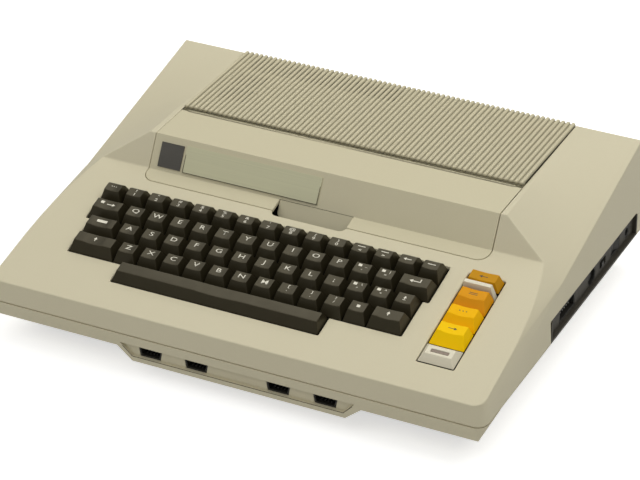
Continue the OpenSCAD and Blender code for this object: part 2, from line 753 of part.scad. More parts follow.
module peripheral_port() {
  x0 = bezel_x - 22;
  color([0.05, 0.05, 0.05]) difference() {
    union() {
      block([x0, sio_d - sio_l / 2 + 0.2, port_mid - sio_h / 2 + 0.2],
        [bezel_x - 0.2, sio_d + sio_l / 2 - 0.2, port_mid + sio_h / 2 - 0.2]);
      block([x0, sio_d - sio_l / 2 + 0.2, power_top], [bezel_back, sio_d + sio_l / 2 - 0.2, port_mid]);
    }
    block([x0 + 8, sio_d - sio_l / 2 + 1.6, port_mid - sio_h / 2 + 1.6],
      [bezel_x + 1, sio_d + sio_l / 2 - 1.6, port_mid + sio_h / 2 - 1.6]);
  }
  color(metal) for (i = [0 : 12]) {
    translate([x0 + 7.5, dy(sio_d + i * 2 - 12), port_mid + (i % 2 == 0 ? 2 : -2)])
      rotate([0, 90, 0]) cylinder(h = 9, r = 0.6, $fn = 16);
  }
}

module monitor_jack() {
  x0 = bezel_x - 16;
  color([0.08, 0.08, 0.08]) difference() {
    union() {
      translate([x0, dy(din_d), port_mid]) rotate([0, 90, 0]) cylinder(h = bezel_x - 0.2 - x0, r = din_r);
      block([x0, din_d - 7, power_top], [x0 + 10, din_d + 7, port_mid]);
    }
    difference() {
      translate([x0 + 6, dy(din_d), port_mid]) rotate([0, 90, 0]) cylinder(h = 20, r = 6.6);
      translate([x0 + 5, dy(din_d), port_mid]) rotate([0, 90, 0]) cylinder(h = 9, r = 4.6);
    }
    for (a = [-90 : 45 : 90]) translate([x0 + 8, dy(din_d) + 3.2 * sin(a), port_mid + 3.2 * cos(a)])
      rotate([0, 90, 0]) cylinder(h = 20, r = 0.7, $fn = 16);
  }
}

module channel_switch() {
  color(metal) difference() {
    block([bezel_x - 12, chan_d - 9, power_top], [bezel_back, chan_d + 9, port_mid + 4]);
    block([bezel_x - 9, chan_d - 7, port_mid - 2.2], [bezel_x, chan_d + 7, port_mid + 2.2]);
  }
}
module channel_slider() {
  color([0.05, 0.05, 0.05]) block([bezel_x - 8.8, chan_d - 4.5, port_mid - 2],
    [bezel_x + 1.2, chan_d - 0.5, port_mid + 2]);
}

module power_switch() {
  color([0.06, 0.06, 0.06]) difference() {
    union() {
      block([bezel_x - 18, rocker_d - rocker_l / 2 + 0.2, port_mid - 5.8],
        [bezel_x - 0.2, rocker_d + rocker_l / 2 - 0.2, port_mid + 5.8]);
      block([bezel_x - 18, rocker_d - rocker_l / 2 + 0.2, power_top],
        [bezel_back, rocker_d + rocker_l / 2 - 0.2, port_mid]);
    }
    block([bezel_x - 9, rocker_d - rocker_l / 2 + 1.5, port_mid - 4.4],
      [bezel_x + 1, rocker_d + rocker_l / 2 - 1.5, port_mid + 4.4]);
  }
  color(metal) for (z = [port_mid - 5, port_mid + 2]) translate([bezel_x - 3, dy(rocker_d), z])
    cylinder(h = 3, r = 0.8);
}
module power_rocker() {
  l = rocker_l - 4;
  color([0.03, 0.03, 0.03]) difference() {
    translate([bezel_x - 3, dy(rocker_d), port_mid - 4]) linear_extrude(8)
      polygon([[-3.5, -3.2], [0.6, -l / 2], [2.6, -l / 2], [1.4, 0], [3.6, l / 2 - 1.2],
        [1.6, l / 2 - 0.4], [-3.5, 3.2]]);
    translate([bezel_x - 3, dy(rocker_d), port_mid - 5]) cylinder(h = 10, r = 0.8 + run_fit);
  }
}

module power_jack() {
  x0 = bezel_x - 14;
  color([0.05, 0.05, 0.05]) difference() {
    union() {
      block([x0, jack_d - 6, power_top], [x0 + 8, jack_d + 6, port_mid + 5]);
      translate([x0, dy(jack_d), port_mid]) rotate([0, 90, 0])
        cylinder(h = bezel_x - 0.2 - x0, r = jack_body_r);
    }
    translate([x0 + 4, dy(jack_d), port_mid]) rotate([0, 90, 0]) cylinder(h = 20, r = jack_r);
  }
  color(metal) translate([x0 + 3.5, dy(jack_d), port_mid]) rotate([0, 90, 0]) cylinder(h = 8, r = 1);
}

module controller_ports() {
  for (x = port_x) {
    color([0.05, 0.05, 0.05]) difference() {
      union() {
        translate([x, dy(port_face + 0.3), port_z]) rotate([90, 0, 0]) mirror([0, 0, 1])
          linear_extrude(15.5) port_outline(0);
        block([x - 6.5, port_face + 4, board_top_z], [x + 6.5, port_face + 15.8, port_z]);
      }
      translate([x, dy(port_face - 0.1), port_z]) rotate([90, 0, 0]) mirror([0, 0, 1]) linear_extrude(7)
        port_outline(-1.1);
    }
    color(metal) for (i = [0 : 8]) let (top = i < 5)
      translate([x + (top ? i - 2 : i - 6.5) * 2.76, dy(port_face + 2.2), port_z + (top ? 1.42 : -1.42)])
        rotate([-90, 0, 0]) cylinder(h = 5.5, r = 0.5, $fn = 16);
  }
}

module speaker() {
  color([0.1, 0.1, 0.1]) translate([speaker_x, dy(speaker_d), floor_z + 2 * eps]) difference() {
    union() {
      cylinder(h = 3, r = 27);
      translate([0, 0, 2.9]) cylinder(h = 9, r1 = 25, r2 = 14);
      translate([0, 0, 11.8]) cylinder(h = 7, r = 14);
    }
    translate([0, 0, -1]) cylinder(h = 11, r1 = 24, r2 = 9);
  }
}

// ---------------------------------------------------------------- keyboard

module keyboard_plate() {
  color([0.12, 0.12, 0.11]) on_deck() difference() {
    union() {
      translate([0, 0, plate_low]) linear_extrude(plate_t) keyboard_area();
      translate([0, 0, plate_top - eps]) linear_extrude(-wall - plate_top) difference() {
        keyboard_outline(key_gap + 1.6);
        keyboard_outline(key_gap);
      }
    }
    for (k = all_keys) translate([k[0], k[1], plate_low - 1]) cylinder(h = plate_t + 2, r = stem_r + 0.8);
    translate([console_x, key_s(4), plate_low - 1]) cylinder(h = plate_t + 2, r = lamp_r + 0.25);
  }
}
// plan of the plate and of the board below it
module keyboard_area() {
  translate([key_x(0) - 4, kb_s - row_n * pitch - 5])
    square([console_x + console_w / 2 + 3.2 - key_x(0) + 4, row_n * pitch + 9]);
}

// centres of the keys that stand in a run of one-unit keys: first unit, number, row
function run(u, n, row) = [for (i = [0 : n - 1]) [key_x(u + i + 0.5), key_s(row)]];
digit_run = run(1, 13, 0);
upper_run = run(1.5, 12, 1);
home_run = run(1.75, 12, 2);
lower_run = run(2.25, 11, 3);
space_x = key_x((space_u + space_end) / 2);
single_keys = [[key_x(0.5), key_s(0)], [key_x(14.5), key_s(0)], [key_x(0.75), key_s(1)],
  [key_x(14.25), key_s(1)],
  [key_x(1), key_s(2)], [key_x(14.25), key_s(2)], [key_x(1.25), key_s(3)], [key_x(14), key_s(3)],
  [space_x, key_s(4)]];
console_keys = [for (row = [0 : 3]) [console_x, key_s(row)]];
all_keys = concat(digit_run, upper_run, home_run, lower_run, single_keys, console_keys);

module keyboard_board() {
  color(green) on_deck() translate([0, 0, board_top - board_t]) linear_extrude(board_t) keyboard_area();
}

module key_switches() {
  color([0.07, 0.07, 0.07]) on_deck() for (k = all_keys)
    translate([k[0], k[1], board_top]) difference() {
      translate([-7, -7, 0]) cube([14, 14, switch_h]);
      translate([0, 0, 0.6]) cylinder(h = switch_h, r = stem_r + run_fit);
    }
}

// a tapered block: w and d at the foot h0, drawn in by side, front and rear up to h1
module taper(w, d, h0, h1, side, front, rear) {
  intersection() {
    rotate([90, 0, 0]) translate([0, 0, -d]) linear_extrude(2 * d)
      polygon([[-w / 2, h0], [w / 2, h0], [w / 2 - side, h1], [-w / 2 + side, h1]]);
    rotate([90, 0, 90]) translate([0, 0, -w]) linear_extrude(2 * w)
      polygon([[-d / 2, h0], [d / 2, h0], [d / 2 - rear, h1], [-d / 2 + front, h1]]);
  }
}

cap_gap = 0.85;
cap_d = pitch - cap_gap;
cap_dish = 0.5;
digit_bevel = 2.2;
dish_r = 38;

// a hollow key cap, u units wide, with its stem; top at height h over the deck
module key_cap(x, s, u, h, front = 5.6, rear = 3.05, side = 2.9, bevel = 0, depth = cap_d) {
  w = u * pitch - cap_gap;
  translate([x, s, 0]) {
    translate([0, (cap_d - depth) / 2, 0]) difference() {
      taper(w, depth, cap_foot, h, side, front, rear);
      taper(w - 2 * cap_wall, depth - 2 * cap_wall, cap_foot - 0.1, h - cap_wall - cap_dish,
        side, front - 0.6, max(rear - 0.4, 0));
      translate([0, 0, h + dish_r * u - cap_dish]) rotate([90, 0, 0])
        cylinder(h = 2 * pitch, r = dish_r * u, center = true, $fn = 96);
      if (bevel > 0) translate([-w, depth / 2 - rear - bevel, h]) rotate([-40, 0, 0])
        cube([2 * w, pitch, cap_d]);
    }
    translate([0, 0, board_top + 0.9 + key_travel])
      cylinder(h = h - cap_wall - board_top - 1 - key_travel, r = stem_r);
  }
}

module key_row(keys, h, bevel = 0) {
  for (k = keys) key_cap(k[0], k[1], 1, h, bevel = bevel);
}

module digit_keys() { color(key_c) on_deck() key_row(digit_run, digit_h, digit_bevel); }
module upper_letter_keys() { color(key_c) on_deck() key_row(upper_run, key_h); }
module home_letter_keys() { color(key_c) on_deck() key_row(home_run, key_h); }
module lower_letter_keys() { color(key_c) on_deck() key_row(lower_run, key_h); }
module escape_key() { color(key_c) on_deck() key_cap(key_x(0.5), key_s(0), 1, digit_h,
  bevel = digit_bevel); }
module break_key() { color(key_c) on_deck() key_cap(key_x(14.5), key_s(0), 1, digit_h,
  bevel = digit_bevel); }
module tab_key() { color(key_c) on_deck() key_cap(key_x(0.75), key_s(1), 1.5, key_h); }
module return_key() { color(key_c) on_deck() key_cap(key_x(14.25), key_s(1), 1.5, key_h); }
module control_key() { color(key_c) on_deck() key_cap(key_x(1), key_s(2), 1.5, key_h); }
module caps_key() { color(key_c) on_deck() key_cap(key_x(14.25), key_s(2), 1, key_h); }
module left_shift_key() { color(key_c) on_deck() key_cap(key_x(1.25), key_s(3), 2, key_h); }
module right_shift_key() { color(key_c) on_deck() key_cap(key_x(14), key_s(3), 1.5, key_h); }
module space_bar() { color(key_c) on_deck() key_cap(space_x, key_s(4), space_end - space_u, space_h,
  side = 2.5); }

module console_key(row, c, depth = cap_d, front = 8.4) {
  color(c) on_deck() key_cap(console_x, key_s(row), 1.5, console_h, front, rear = 0.4, side = 3.4,
    depth = depth);
}
module reset_key() { console_key(0, [0.75, 0.55, 0.15], reset_d, 2.6); }
module option_key() { console_key(1, [0.87, 0.63, 0.20]); }
module select_key() { console_key(2, [0.96, 0.73, 0.05]); }
module start_key() { console_key(3, [0.98, 0.76, 0.02]); }

reset_d = 11.8;
guard_d = 5.8;
guard_h = 9;
lamp_h = 4;
lamp_slot = [14, 3.2];
lamp_floor = lamp_h - 3.2;

// guard bar between the reset and option keys, and the raised bezel of the power lamp
module console_bezel() {
  color(beige) on_deck() {
    difference() {
      translate([console_x, key_s(4), 0]) taper(console_w - 0.4, cap_d, plate_top, lamp_h, 3.6, 5.2, 4.4);
      translate([console_x, key_s(4), plate_top - 1]) cylinder(h = 2 * lamp_h, r = lamp_r + 0.15);
      translate([console_x, key_s(4), lamp_floor]) linear_extrude(lamp_h) square(lamp_slot, center = true);
    }
    translate([console_x, kb_s - pitch + cap_gap / 2 + guard_d / 2, 0])
      taper(console_w - 1, guard_d, plate_top, guard_h, 3.2, 1.2, 1.2);
  }
}

module power_led() {
  color([0.85, 0.1, 0.1]) on_deck() translate([console_x, key_s(4), 0]) {
    translate([0, 0, board_top]) cylinder(h = lamp_floor + 2 * eps - board_top, r = lamp_r);
    translate([0, 0, lamp_floor + eps]) linear_extrude(lamp_h - lamp_floor - seat)
      square([lamp_slot[0] - 2 * seat, lamp_slot[1] - 2 * seat], center = true);
  }
}

module cable_grommet() {
  color([0.05, 0.05, 0.05]) translate([grommet_x, dy(case_d - 7), grommet_z]) rotate([-90, 0, 0])
    difference() {
    union() {
      cylinder(h = 6, r = grommet_r - 0.1);
      cylinder(h = 2.6, r = grommet_r + 2);
    }
    translate([0, 0, -1]) cylinder(h = 12, r = 2.6);
  }
}

bottom_case();
top_case();
rubber_feet();
case_screws();
memory_cover();
cartridge_door();
badge_square();
badge_plate();
door_latch();
cover_latch_left();
cover_latch_right();
door_hinge_pins();
bay_frame();
cartridge_guides();
cartridge_connectors();
interlock_switch();
interlock_plunger();
cast_shield();
main_board();
cpu_board();
rom_module();
memory_modules();
module_sockets();
power_board();
heat_sink();
filter_capacitors();
rf_modulator();
side_bezel();
peripheral_port();
monitor_jack();
channel_switch();
channel_slider();
power_switch();
power_rocker();
power_jack();
controller_ports();
speaker();
power_led();
keyboard_plate();
keyboard_board();
key_switches();
console_bezel();
cable_grommet();
start_key();
select_key();
option_key();
reset_key();
space_bar();
tab_key();
return_key();
control_key();
caps_key();
left_shift_key();
right_shift_key();
escape_key();
break_key();
digit_keys();
upper_letter_keys();
home_letter_keys();
lower_letter_keys();
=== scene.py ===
"""Looks of a beige home computer: finishes, key legends, small trim, floor, light and camera."""

from __future__ import annotations

import json
import logging
import math
from dataclasses import dataclass, field
from enum import Enum
from typing import Any, Iterable

import bmesh
import bpy
from bpy.types import Material, NodeSocket, Object
from mathutils import Matrix, Vector

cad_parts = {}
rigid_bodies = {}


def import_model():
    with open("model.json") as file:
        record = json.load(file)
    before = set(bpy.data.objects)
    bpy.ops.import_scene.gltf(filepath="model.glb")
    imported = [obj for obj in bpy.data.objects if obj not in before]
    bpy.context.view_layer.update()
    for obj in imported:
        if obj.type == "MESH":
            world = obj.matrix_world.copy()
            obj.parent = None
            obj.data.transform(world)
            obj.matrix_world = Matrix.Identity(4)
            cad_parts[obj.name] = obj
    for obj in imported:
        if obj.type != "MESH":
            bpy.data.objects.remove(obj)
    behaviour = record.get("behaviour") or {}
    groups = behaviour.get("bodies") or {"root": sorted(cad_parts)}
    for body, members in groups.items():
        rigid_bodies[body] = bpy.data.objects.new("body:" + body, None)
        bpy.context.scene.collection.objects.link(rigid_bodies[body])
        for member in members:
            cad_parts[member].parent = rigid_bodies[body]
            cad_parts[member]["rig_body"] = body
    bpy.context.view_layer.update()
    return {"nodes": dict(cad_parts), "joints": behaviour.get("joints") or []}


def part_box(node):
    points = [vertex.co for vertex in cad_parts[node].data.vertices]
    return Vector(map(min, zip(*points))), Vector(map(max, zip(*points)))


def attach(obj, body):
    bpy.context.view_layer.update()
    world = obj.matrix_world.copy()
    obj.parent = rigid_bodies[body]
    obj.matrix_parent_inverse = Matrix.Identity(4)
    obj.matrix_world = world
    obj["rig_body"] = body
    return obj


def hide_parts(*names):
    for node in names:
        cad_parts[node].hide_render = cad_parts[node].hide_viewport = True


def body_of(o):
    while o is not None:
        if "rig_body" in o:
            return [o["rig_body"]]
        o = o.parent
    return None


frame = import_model()

log = logging.getLogger("home_computer")

Triple = tuple[float, float, float]
Colour = tuple[float, float, float, float]

MM = 0.001
CAMERA_PLACE = (0.84014, -1.71660, 1.17814)
CAMERA_TURN = (59.507, 0.146, 26.040)
CAMERA_LENS = 163.1
STEP_HEIGHT = 0.3  # millimetres: upright edges shorter than this are taken out
STEEP = 0.6  # share of an edge's length that it rises by, from which it counts as upright
MARK_RISE = 2  # millimetres: how far over the keys the marks are made


# ---- small helpers


def srgb(red: int, green: int, blue: int) -> Colour:
    """Turns a colour as the eye reads it, 0 to 255, into the renderer's linear colour.

    Args:
        red: Red, from 0 to 255.
        green: Green, from 0 to 255.
        blue: Blue, from 0 to 255.

    Returns:
        The linear colour with an alpha of 1.
    """

    def linear(level: int) -> float:
        """Gives one channel's linear value."""
        share = level / 255
        return share / 12.92 if share <= 0.04045 else ((share + 0.055) / 1.055) ** 2.4

    return (linear(red), linear(green), linear(blue), 1.0)


def deselect() -> None:
    """Leaves object mode's selection empty."""
    if bpy.context.object and bpy.context.object.mode != "OBJECT":
        bpy.ops.object.mode_set(mode="OBJECT")
    bpy.ops.object.select_all(action="DESELECT")


def activate(*pieces: Object) -> Object:
    """Selects only these pieces, and makes the first one active.

    Args:
        pieces: The pieces to select.

    Returns:
        The first piece.
    """
    deselect()
    for piece in pieces:
        piece.select_set(True)
    bpy.context.view_layer.objects.active = pieces[0]
    return pieces[0]


def settle(piece: Object) -> Object:
    """Moves a piece's place, turn and scale into its mesh.

    Args:
        piece: The piece to settle.

    Returns:
        The same piece, its object at the origin.
    """
    activate(piece)
    bpy.ops.object.transform_apply(location=True, rotation=True, scale=True)
    return piece


def join(pieces: list[Object], name: str) -> Object:
    """Joins meshes into one settled piece.

    Args:
        pieces: The meshes to join.
        name: The name of the joined piece.

    Returns:
        The joined piece.
    """
    first = activate(*pieces)
    if len(pieces) > 1:
        bpy.ops.object.join()
    first.name = name
    first.data.name = name
    return settle(first)


def modify(piece: Object, kind: str, **settings: Any) -> Object:
    """Adds one modifier and applies it at once.

    Args:
        piece: The piece to change.
        kind: Blender's name for the modifier's type.
        settings: The modifier's own settings.

    Returns:
        The changed piece.
    """
    modifier = piece.modifiers.new(kind.title(), kind)
    for key, value in settings.items():
        setattr(modifier, key, value)
    activate(piece)
    bpy.ops.object.modifier_apply(modifier=modifier.name)
    return piece


def smooth(piece: Object, degrees: float) -> Object:
    """Shades a piece smooth, except over its sharp edges.

    Args:
        piece: The piece to shade.
        degrees: The angle from which an edge stays sharp.

    Returns:
        The same piece.
    """
    activate(piece)
    bpy.ops.object.shade_smooth_by_angle(angle=math.radians(degrees))
    return piece


def dress(piece: Object, *materials: Material) -> Object:
    """Gives a piece these materials in place of its own.

    Args:
        piece: The piece to dress.
        materials: The materials, in the order of the slots.

    Returns:
        The same piece.
    """
    piece.data.materials.clear()
    for material in materials:
        piece.data.materials.append(material)
    return piece


def clean(piece: Object, merge: float, level: bool) -> Object:
    """Merges a CAD mesh and takes out the tiny steps that its hulls leave along their rims.

    Args:
        piece: The piece to clean.
        merge: The distance in millimetres below which points become one.
        level: Whether the tiny steps are taken out.

    Returns:
        The same piece.
    """
    activate(piece)
    bpy.ops.object.mode_set(mode="EDIT")
    bpy.ops.mesh.select_all(action="SELECT")
    bpy.ops.mesh.remove_doubles(threshold=merge * MM)
    mesh = bmesh.from_edit_mesh(piece.data)
    steps = []
    for edge in mesh.edges if level else ():
        length = edge.calc_length()
        rise = abs(edge.verts[0].co.z - edge.verts[1].co.z)
        if length < STEP_HEIGHT * MM and rise > STEEP * length:
            steps.append(edge)
    bmesh.ops.collapse(mesh, edges=steps)
    bmesh.update_edit_mesh(piece.data)
    bpy.ops.mesh.select_all(action="SELECT")
    bpy.ops.mesh.dissolve_limited(angle_limit=math.radians(0.5))
    bpy.ops.mesh.normals_make_consistent(inside=False)
    bpy.ops.object.mode_set(mode="OBJECT")
    return piece


def softened(
    node: str,
    width: float,
    segments: int = 3,
    angle: float = 25,
    merge: float = 0.12,
    level: bool = True,
) -> Object:
    """Copies a moulded CAD node, rounds its edges as a mould does, and shows the copy in its place.

    Args:
        node: The CAD node's name.
        width: How wide the rounding is, in millimetres.
        segments: The number of faces across the rounding.
        angle: The angle in degrees from which an edge is rounded.
        merge: The distance in millimetres below which points become one first.
        level: Whether tiny steps are taken out first.

    Returns:
        The rounded copy.
    """
    source = frame["nodes"][node]
    copy = source.copy()
    copy.data = source.data.copy()
    for key in list(copy.keys()):
        del copy[key]
    copy.parent = None
    copy.name = f"{node}_moulded"
    bpy.context.scene.collection.objects.link(copy)
    clean(copy, merge, level)
    limit = {"limit_method": "ANGLE", "angle_limit": math.radians(angle)}
    shape = {"use_clamp_overlap": False, "miter_outer": "MITER_ARC"}
    modify(copy, "BEVEL", width=width * MM, segments=segments, **limit, **shape)
    smooth(copy, 28)
    modify(copy, "WEIGHTED_NORMAL", mode="FACE_AREA", weight=100, keep_sharp=True)
    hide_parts(node)
    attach(copy, body_of(source)[0])
    return copy


def turned_box(size: Triple, place: Vector, turn: Triple = (0, 0, 0)) -> Object:
    """Adds a block of a size in millimetres.

    Args:
        size: Its lengths along its own axes.
        place: Its middle, in metres.
        turn: Its turn about X, Y and Z, in radians.

    Returns:
        The block.
    """
    deselect()
    bpy.ops.mesh.primitive_cube_add(size=1, location=place, rotation=turn)
    made = bpy.context.object
    made.scale = [length * MM for length in size]
    return settle(made)


def pin(radius: float, length: float, place: Vector, turn: Triple) -> Object:
    """Adds a contact pin with a rounded tip.

    Args:
        radius: Its radius in millimetres.
        length: Its length in millimetres.
        place: Its middle, in metres.
        turn: Its turn about X, Y and Z, in radians.

    Returns:
        The pin.
    """
    deselect()
    bpy.ops.mesh.primitive_cylinder_add(
        vertices=16, radius=radius * MM, depth=length * MM, location=place, rotation=turn
    )
    made = settle(bpy.context.object)
    return modify(made, "BEVEL", width=radius * 0.45 * MM, segments=2, limit_method="ANGLE")


def repeated(piece: Object, count: int, step: Vector) -> Object:
    """Gives a row of so many of a piece, with a step in metres from one to the next."""
    way = {"use_relative_offset": False, "use_constant_offset": True}
    return modify(piece, "ARRAY", count=count, constant_offset_displace=step, **way)


# ---- shader writing


class Value:
    """A socket in a node tree, on which Python's arithmetic adds Math nodes."""

    def __init__(self, shader: "Shader", socket: NodeSocket) -> None:
        """Keeps the shader and the socket."""
        self.shader = shader
        self.socket = socket

    def _maths(self, operation: str, *terms: Any) -> "Value":
        """Adds one Math node that works on values or numbers, and gives its result."""
        return self.shader.node("ShaderNodeMath", {"operation": operation}, dict(enumerate(terms)))

    def __add__(self, other: Any) -> "Value":
        """Adds."""
        return self._maths("ADD", self, other)

    __radd__ = __add__

    def __sub__(self, other: Any) -> "Value":
        """Subtracts."""
        return self._maths("SUBTRACT", self, other)

    def __mul__(self, other: Any) -> "Value":
        """Multiplies."""
        return self._maths("MULTIPLY", self, other)

    __rmul__ = __mul__

    def ramp(self, low: float, high: float) -> "Value":
        """Rises from 0 at one value to 1 at another, which may be the lower, and stays there."""
        inputs = {"Value": self, "From Min": low, "From Max": high}
        return self.shader.node("ShaderNodeMapRange", {"clamp": True}, inputs, 0)


class Shader:
    """One material's node tree, with short ways to add nodes to it."""

    def __init__(self, name: str) -> None:
        """Starts a material that holds one Principled shader.

        Args:
            name: The material's name.
        """
        self.material = bpy.data.materials.new(name)
        self.material.use_nodes = True
        self.tree = self.material.node_tree
        self.surface = self.tree.nodes["Principled BSDF"]

    def node(
        self, kind: str, settings: dict[str, Any], inputs: dict[Any, Any], output: Any = 0
    ) -> Value:
        """Adds any node.

        Args:
            kind: The node's type.
            settings: Its own settings, set first.
            inputs: Socket name or number to a value, a number or a colour.
            output: The socket that the result is taken from.

        Returns:
            The chosen output.
        """
        made = self.tree.nodes.new(kind)
        for key, value in settings.items():
            setattr(made, key, value)
        for key, value in inputs.items():
            if isinstance(value, Value):
                self.tree.links.new(value.socket, made.inputs[key])
            else:
                made.inputs[key].default_value = value
        return Value(self, made.outputs[output])

    def place(self) -> Value:
        """Gives the point on the object, in metres."""
        return self.node("ShaderNodeTexCoord", {}, {}, "Object")

    def stretched(self, scale: Triple) -> Value:
        """Gives the point on the object, scaled along X, Y and Z."""
        return self.node("ShaderNodeMapping", {}, {"Vector": self.place(), "Scale": scale})

    def noise(self, scale: float, detail: float = 2, where: Value | None = None) -> Value:
        """Gives soft noise from 0 to 1: cells per metre, finer layers, and where it is read."""
        inputs = {"Vector": where or self.place(), "Scale": scale, "Detail": detail}
        return self.node("ShaderNodeTexNoise", {}, inputs, 0)

    def mix(self, share: Any, first: Any, second: Any) -> Value:
        """Mixes two colours by the share of the second."""
        return self.node("ShaderNodeMix", {"data_type": "RGBA"}, {0: share, 6: first, 7: second}, 2)

    def bump(self, height: Value, depth: float, strength: float = 1.0) -> None:
        """Raises the surface by a height of 0 to 1, of which 1 is the depth in millimetres."""
        inputs = {"Height": height, "Distance": depth * MM, "Strength": strength}
        self.link("Normal", self.node("ShaderNodeBump", {}, inputs, 0))

    def link(self, name: str, value: Value) -> None:
        """Feeds one of the surface's sockets."""
        self.tree.links.new(value.socket, self.surface.inputs[name])

    def fix(self, **constants: Any) -> None:
        """Sets constants on the surface's sockets; an underscore stands for a space."""
        for key, value in constants.items():
            self.surface.inputs[key.replace("_", " ")].default_value = value


# ---- finishes


@dataclass(frozen=True)
class Finish:
    """A named surface finish.

    Attributes:
        name: The material's name.
        colour: Its main colour.
        roughness: Its middle roughness.
        shine: Its specular level, 0.5 being that of most plastics.
    """

    name: str
    colour: Colour
    roughness: float = 0.5
    shine: float = 0.5

    def build(self) -> Material:
        """Makes the material once, and gives it again after that."""
        name = f"{self.name}_finish"
        found = bpy.data.materials.get(name)
        if found:
            return found
        shader = Shader(name)
        shader.fix(Base_Color=self.colour, Roughness=self.roughness, Specular_IOR_Level=self.shine)
        shader.material.diffuse_color = self.colour
        self.paint(shader)
        return shader.material

    def tone(self, factor: float) -> Colour:
        """Gives the colour with each channel multiplied by a factor."""
        return tuple(min(1.0, channel * factor) for channel in self.colour[:3]) + (1.0,)

    def paint(self, shader: Shader) -> None:
        """Adds what varies over the surface."""


@dataclass(frozen=True)
class Moulded(Finish):
    """Case plastic: a fine spark-eroded grain, faint clouds of shade and a soft sheen.

    Attributes:
        grain: Depth of the grain in millimetres.
        aged: Share of yellowing in the clouds.
    """

    grain: float = 0.035
    aged: float = 0.35

    def shade(self, shader: Shader) -> Value:
        """Gives the plastic's colour with its clouds and specks."""
        clouds = shader.noise(9, 3)
        specks = shader.noise(900, 2)
        warm = (self.colour[0] * 0.985, self.colour[1] * 0.955, self.colour[2] * 0.87, 1.0)
        aged = shader.mix(clouds * self.aged, self.tone(1.02), warm)
        speck_share = (specks - 0.5) * 0.24 + 0.06
        return shader.mix(speck_share, aged, self.tone(0.82))

    def paint(self, shader: Shader) -> None:
        """Adds colour, sheen and grain."""
        shader.link("Base Color", self.shade(shader))
        shader.link("Roughness", shader.noise(60, 3) * 0.1 + (self.roughness - 0.05))
        height = shader.noise(1500, 2) * 0.7 + shader.noise(3600, 1) * 0.3
        shader.bump(height, self.grain, 0.5)


@dataclass(frozen=True)
class Ribbed(Moulded):
    """Case plastic with painted shade in the grooves between its ribs and painted shade inside its
    slots.

    Attributes:
        depth: Y of a point on the plate between the ribs, in metres.
        height: Z of that point.
        slope: The plate's rise over its depth.
        thick: The plate's thickness.
        rib: The ribs' height.
    """

    depth: float = 0.0
    height: float = 0.0
    slope: float = 0.0
    thick: float = 2.6 * MM
    rib: float = 1.6 * MM

    def shade(self, shader: Shader) -> Value:
        """Gives the colour with painted shade: darker in the grooves and dark inside the slots."""
        y = shader.node("ShaderNodeSeparateXYZ", {}, {0: shader.place()}, "Y")
        z = shader.node("ShaderNodeSeparateXYZ", {}, {0: shader.place()}, "Z")
        above = z - (y - self.depth) * self.slope - self.height
        # painted shade: the grooves between the ribs are darkened towards about a third of the
        # plastic's colour
        painted_groove_shade = above.ramp(self.rib * 0.8, 0.0) * 0.62
        groove_shaded = shader.mix(painted_groove_shade, super().shade(shader), self.tone(0.36))
        # painted shade: the slots' sides, from 3 mm behind the cover's front, are darkened to 7 %
        # of the colour
        under = above.ramp(-0.1 * MM, -0.4 * MM)
        painted_slot_shade = under * above.ramp(-self.thick + 0.05 * MM, -self.thick + 0.1 * MM)
        inner = y.ramp(self.depth + 3.0 * MM, self.depth + 3.2 * MM)
        return shader.mix(painted_slot_shade * inner, groove_shaded, self.tone(0.07))


@dataclass(frozen=True)
class KeyPlastic(Finish):
    """Key plastic: satin sides and tops polished a little by fingers."""

    def paint(self, shader: Shader) -> None:
        """Adds a fine grain, handled patches and a warm sheen."""
        rubbed = shader.noise(70, 2)
        shader.fix(Specular_Tint=srgb(255, 244, 214))
        shader.link("Base Color", shader.mix(rubbed * 0.35, self.tone(0.9), self.tone(1.16)))
        shader.link("Roughness", shader.noise(110, 3) * 0.16 + (self.roughness - 0.08))
        shader.bump(shader.noise(2600, 2), 0.012, 0.5)


@dataclass(frozen=True)
class BlackPlastic(Finish):
    """Glass-filled black plastic of sockets and frames."""

    def paint(self, shader: Shader) -> None:
        """Adds faint flow marks and a fine grain."""
        flow = shader.noise(24, 4, shader.stretched((1.0, 5.0, 1.0)))
        shader.link("Base Color", shader.mix(flow, self.tone(0.75), self.tone(1.35)))
        shader.link("Roughness", shader.noise(180, 3) * 0.18 + (self.roughness - 0.09))
        shader.bump(shader.noise(1900, 2), 0.02, 0.4)


@dataclass(frozen=True)
class Rubber(Finish):
    """Matt rubber with a little dust."""

    def paint(self, shader: Shader) -> None:
        """Adds dust and pores."""
        dust = shader.noise(260, 4)
        shader.link("Base Color", shader.mix(dust * 0.4, self.colour, srgb(92, 88, 80)))
        shader.link("Roughness", dust * 0.15 + (self.roughness - 0.06))
        shader.bump(shader.noise(1400, 3), 0.03, 0.5)


@dataclass(frozen=True)
class CastMetal(Finish):
    """Die-cast aluminium: grey with flow marks and a dull sparkle."""

    metallic: float = 0.85

    def paint(self, shader: Shader) -> None:
        """Adds flow marks, a coarse skin and its dull patches."""
        skin = shader.noise(160, 5)
        shader.fix(Metallic=self.metallic)
        shader.link("Base Color", shader.mix(skin, self.tone(0.8), self.tone(1.12)))
        shader.link("Roughness", skin * 0.25 + (self.roughness - 0.12))
        shader.bump(shader.noise(700, 4), 0.05, 0.5)


@dataclass(frozen=True)
class BrushedMetal(Finish):
    """Metal with fine lines along X."""

    metallic: float = 1.0

    def paint(self, shader: Shader) -> None:
        """Adds the lines."""
        lines = shader.noise(300, 2, shader.stretched((0.02, 9.0, 9.0)))
        shader.fix(Metallic=self.metallic)
        shader.link("Base Color", shader.mix(lines, self.tone(0.86), self.tone(1.08)))
        shader.link("Roughness", lines * 0.2 + (self.roughness - 0.1))
        shader.bump(lines, 0.01, 0.3)


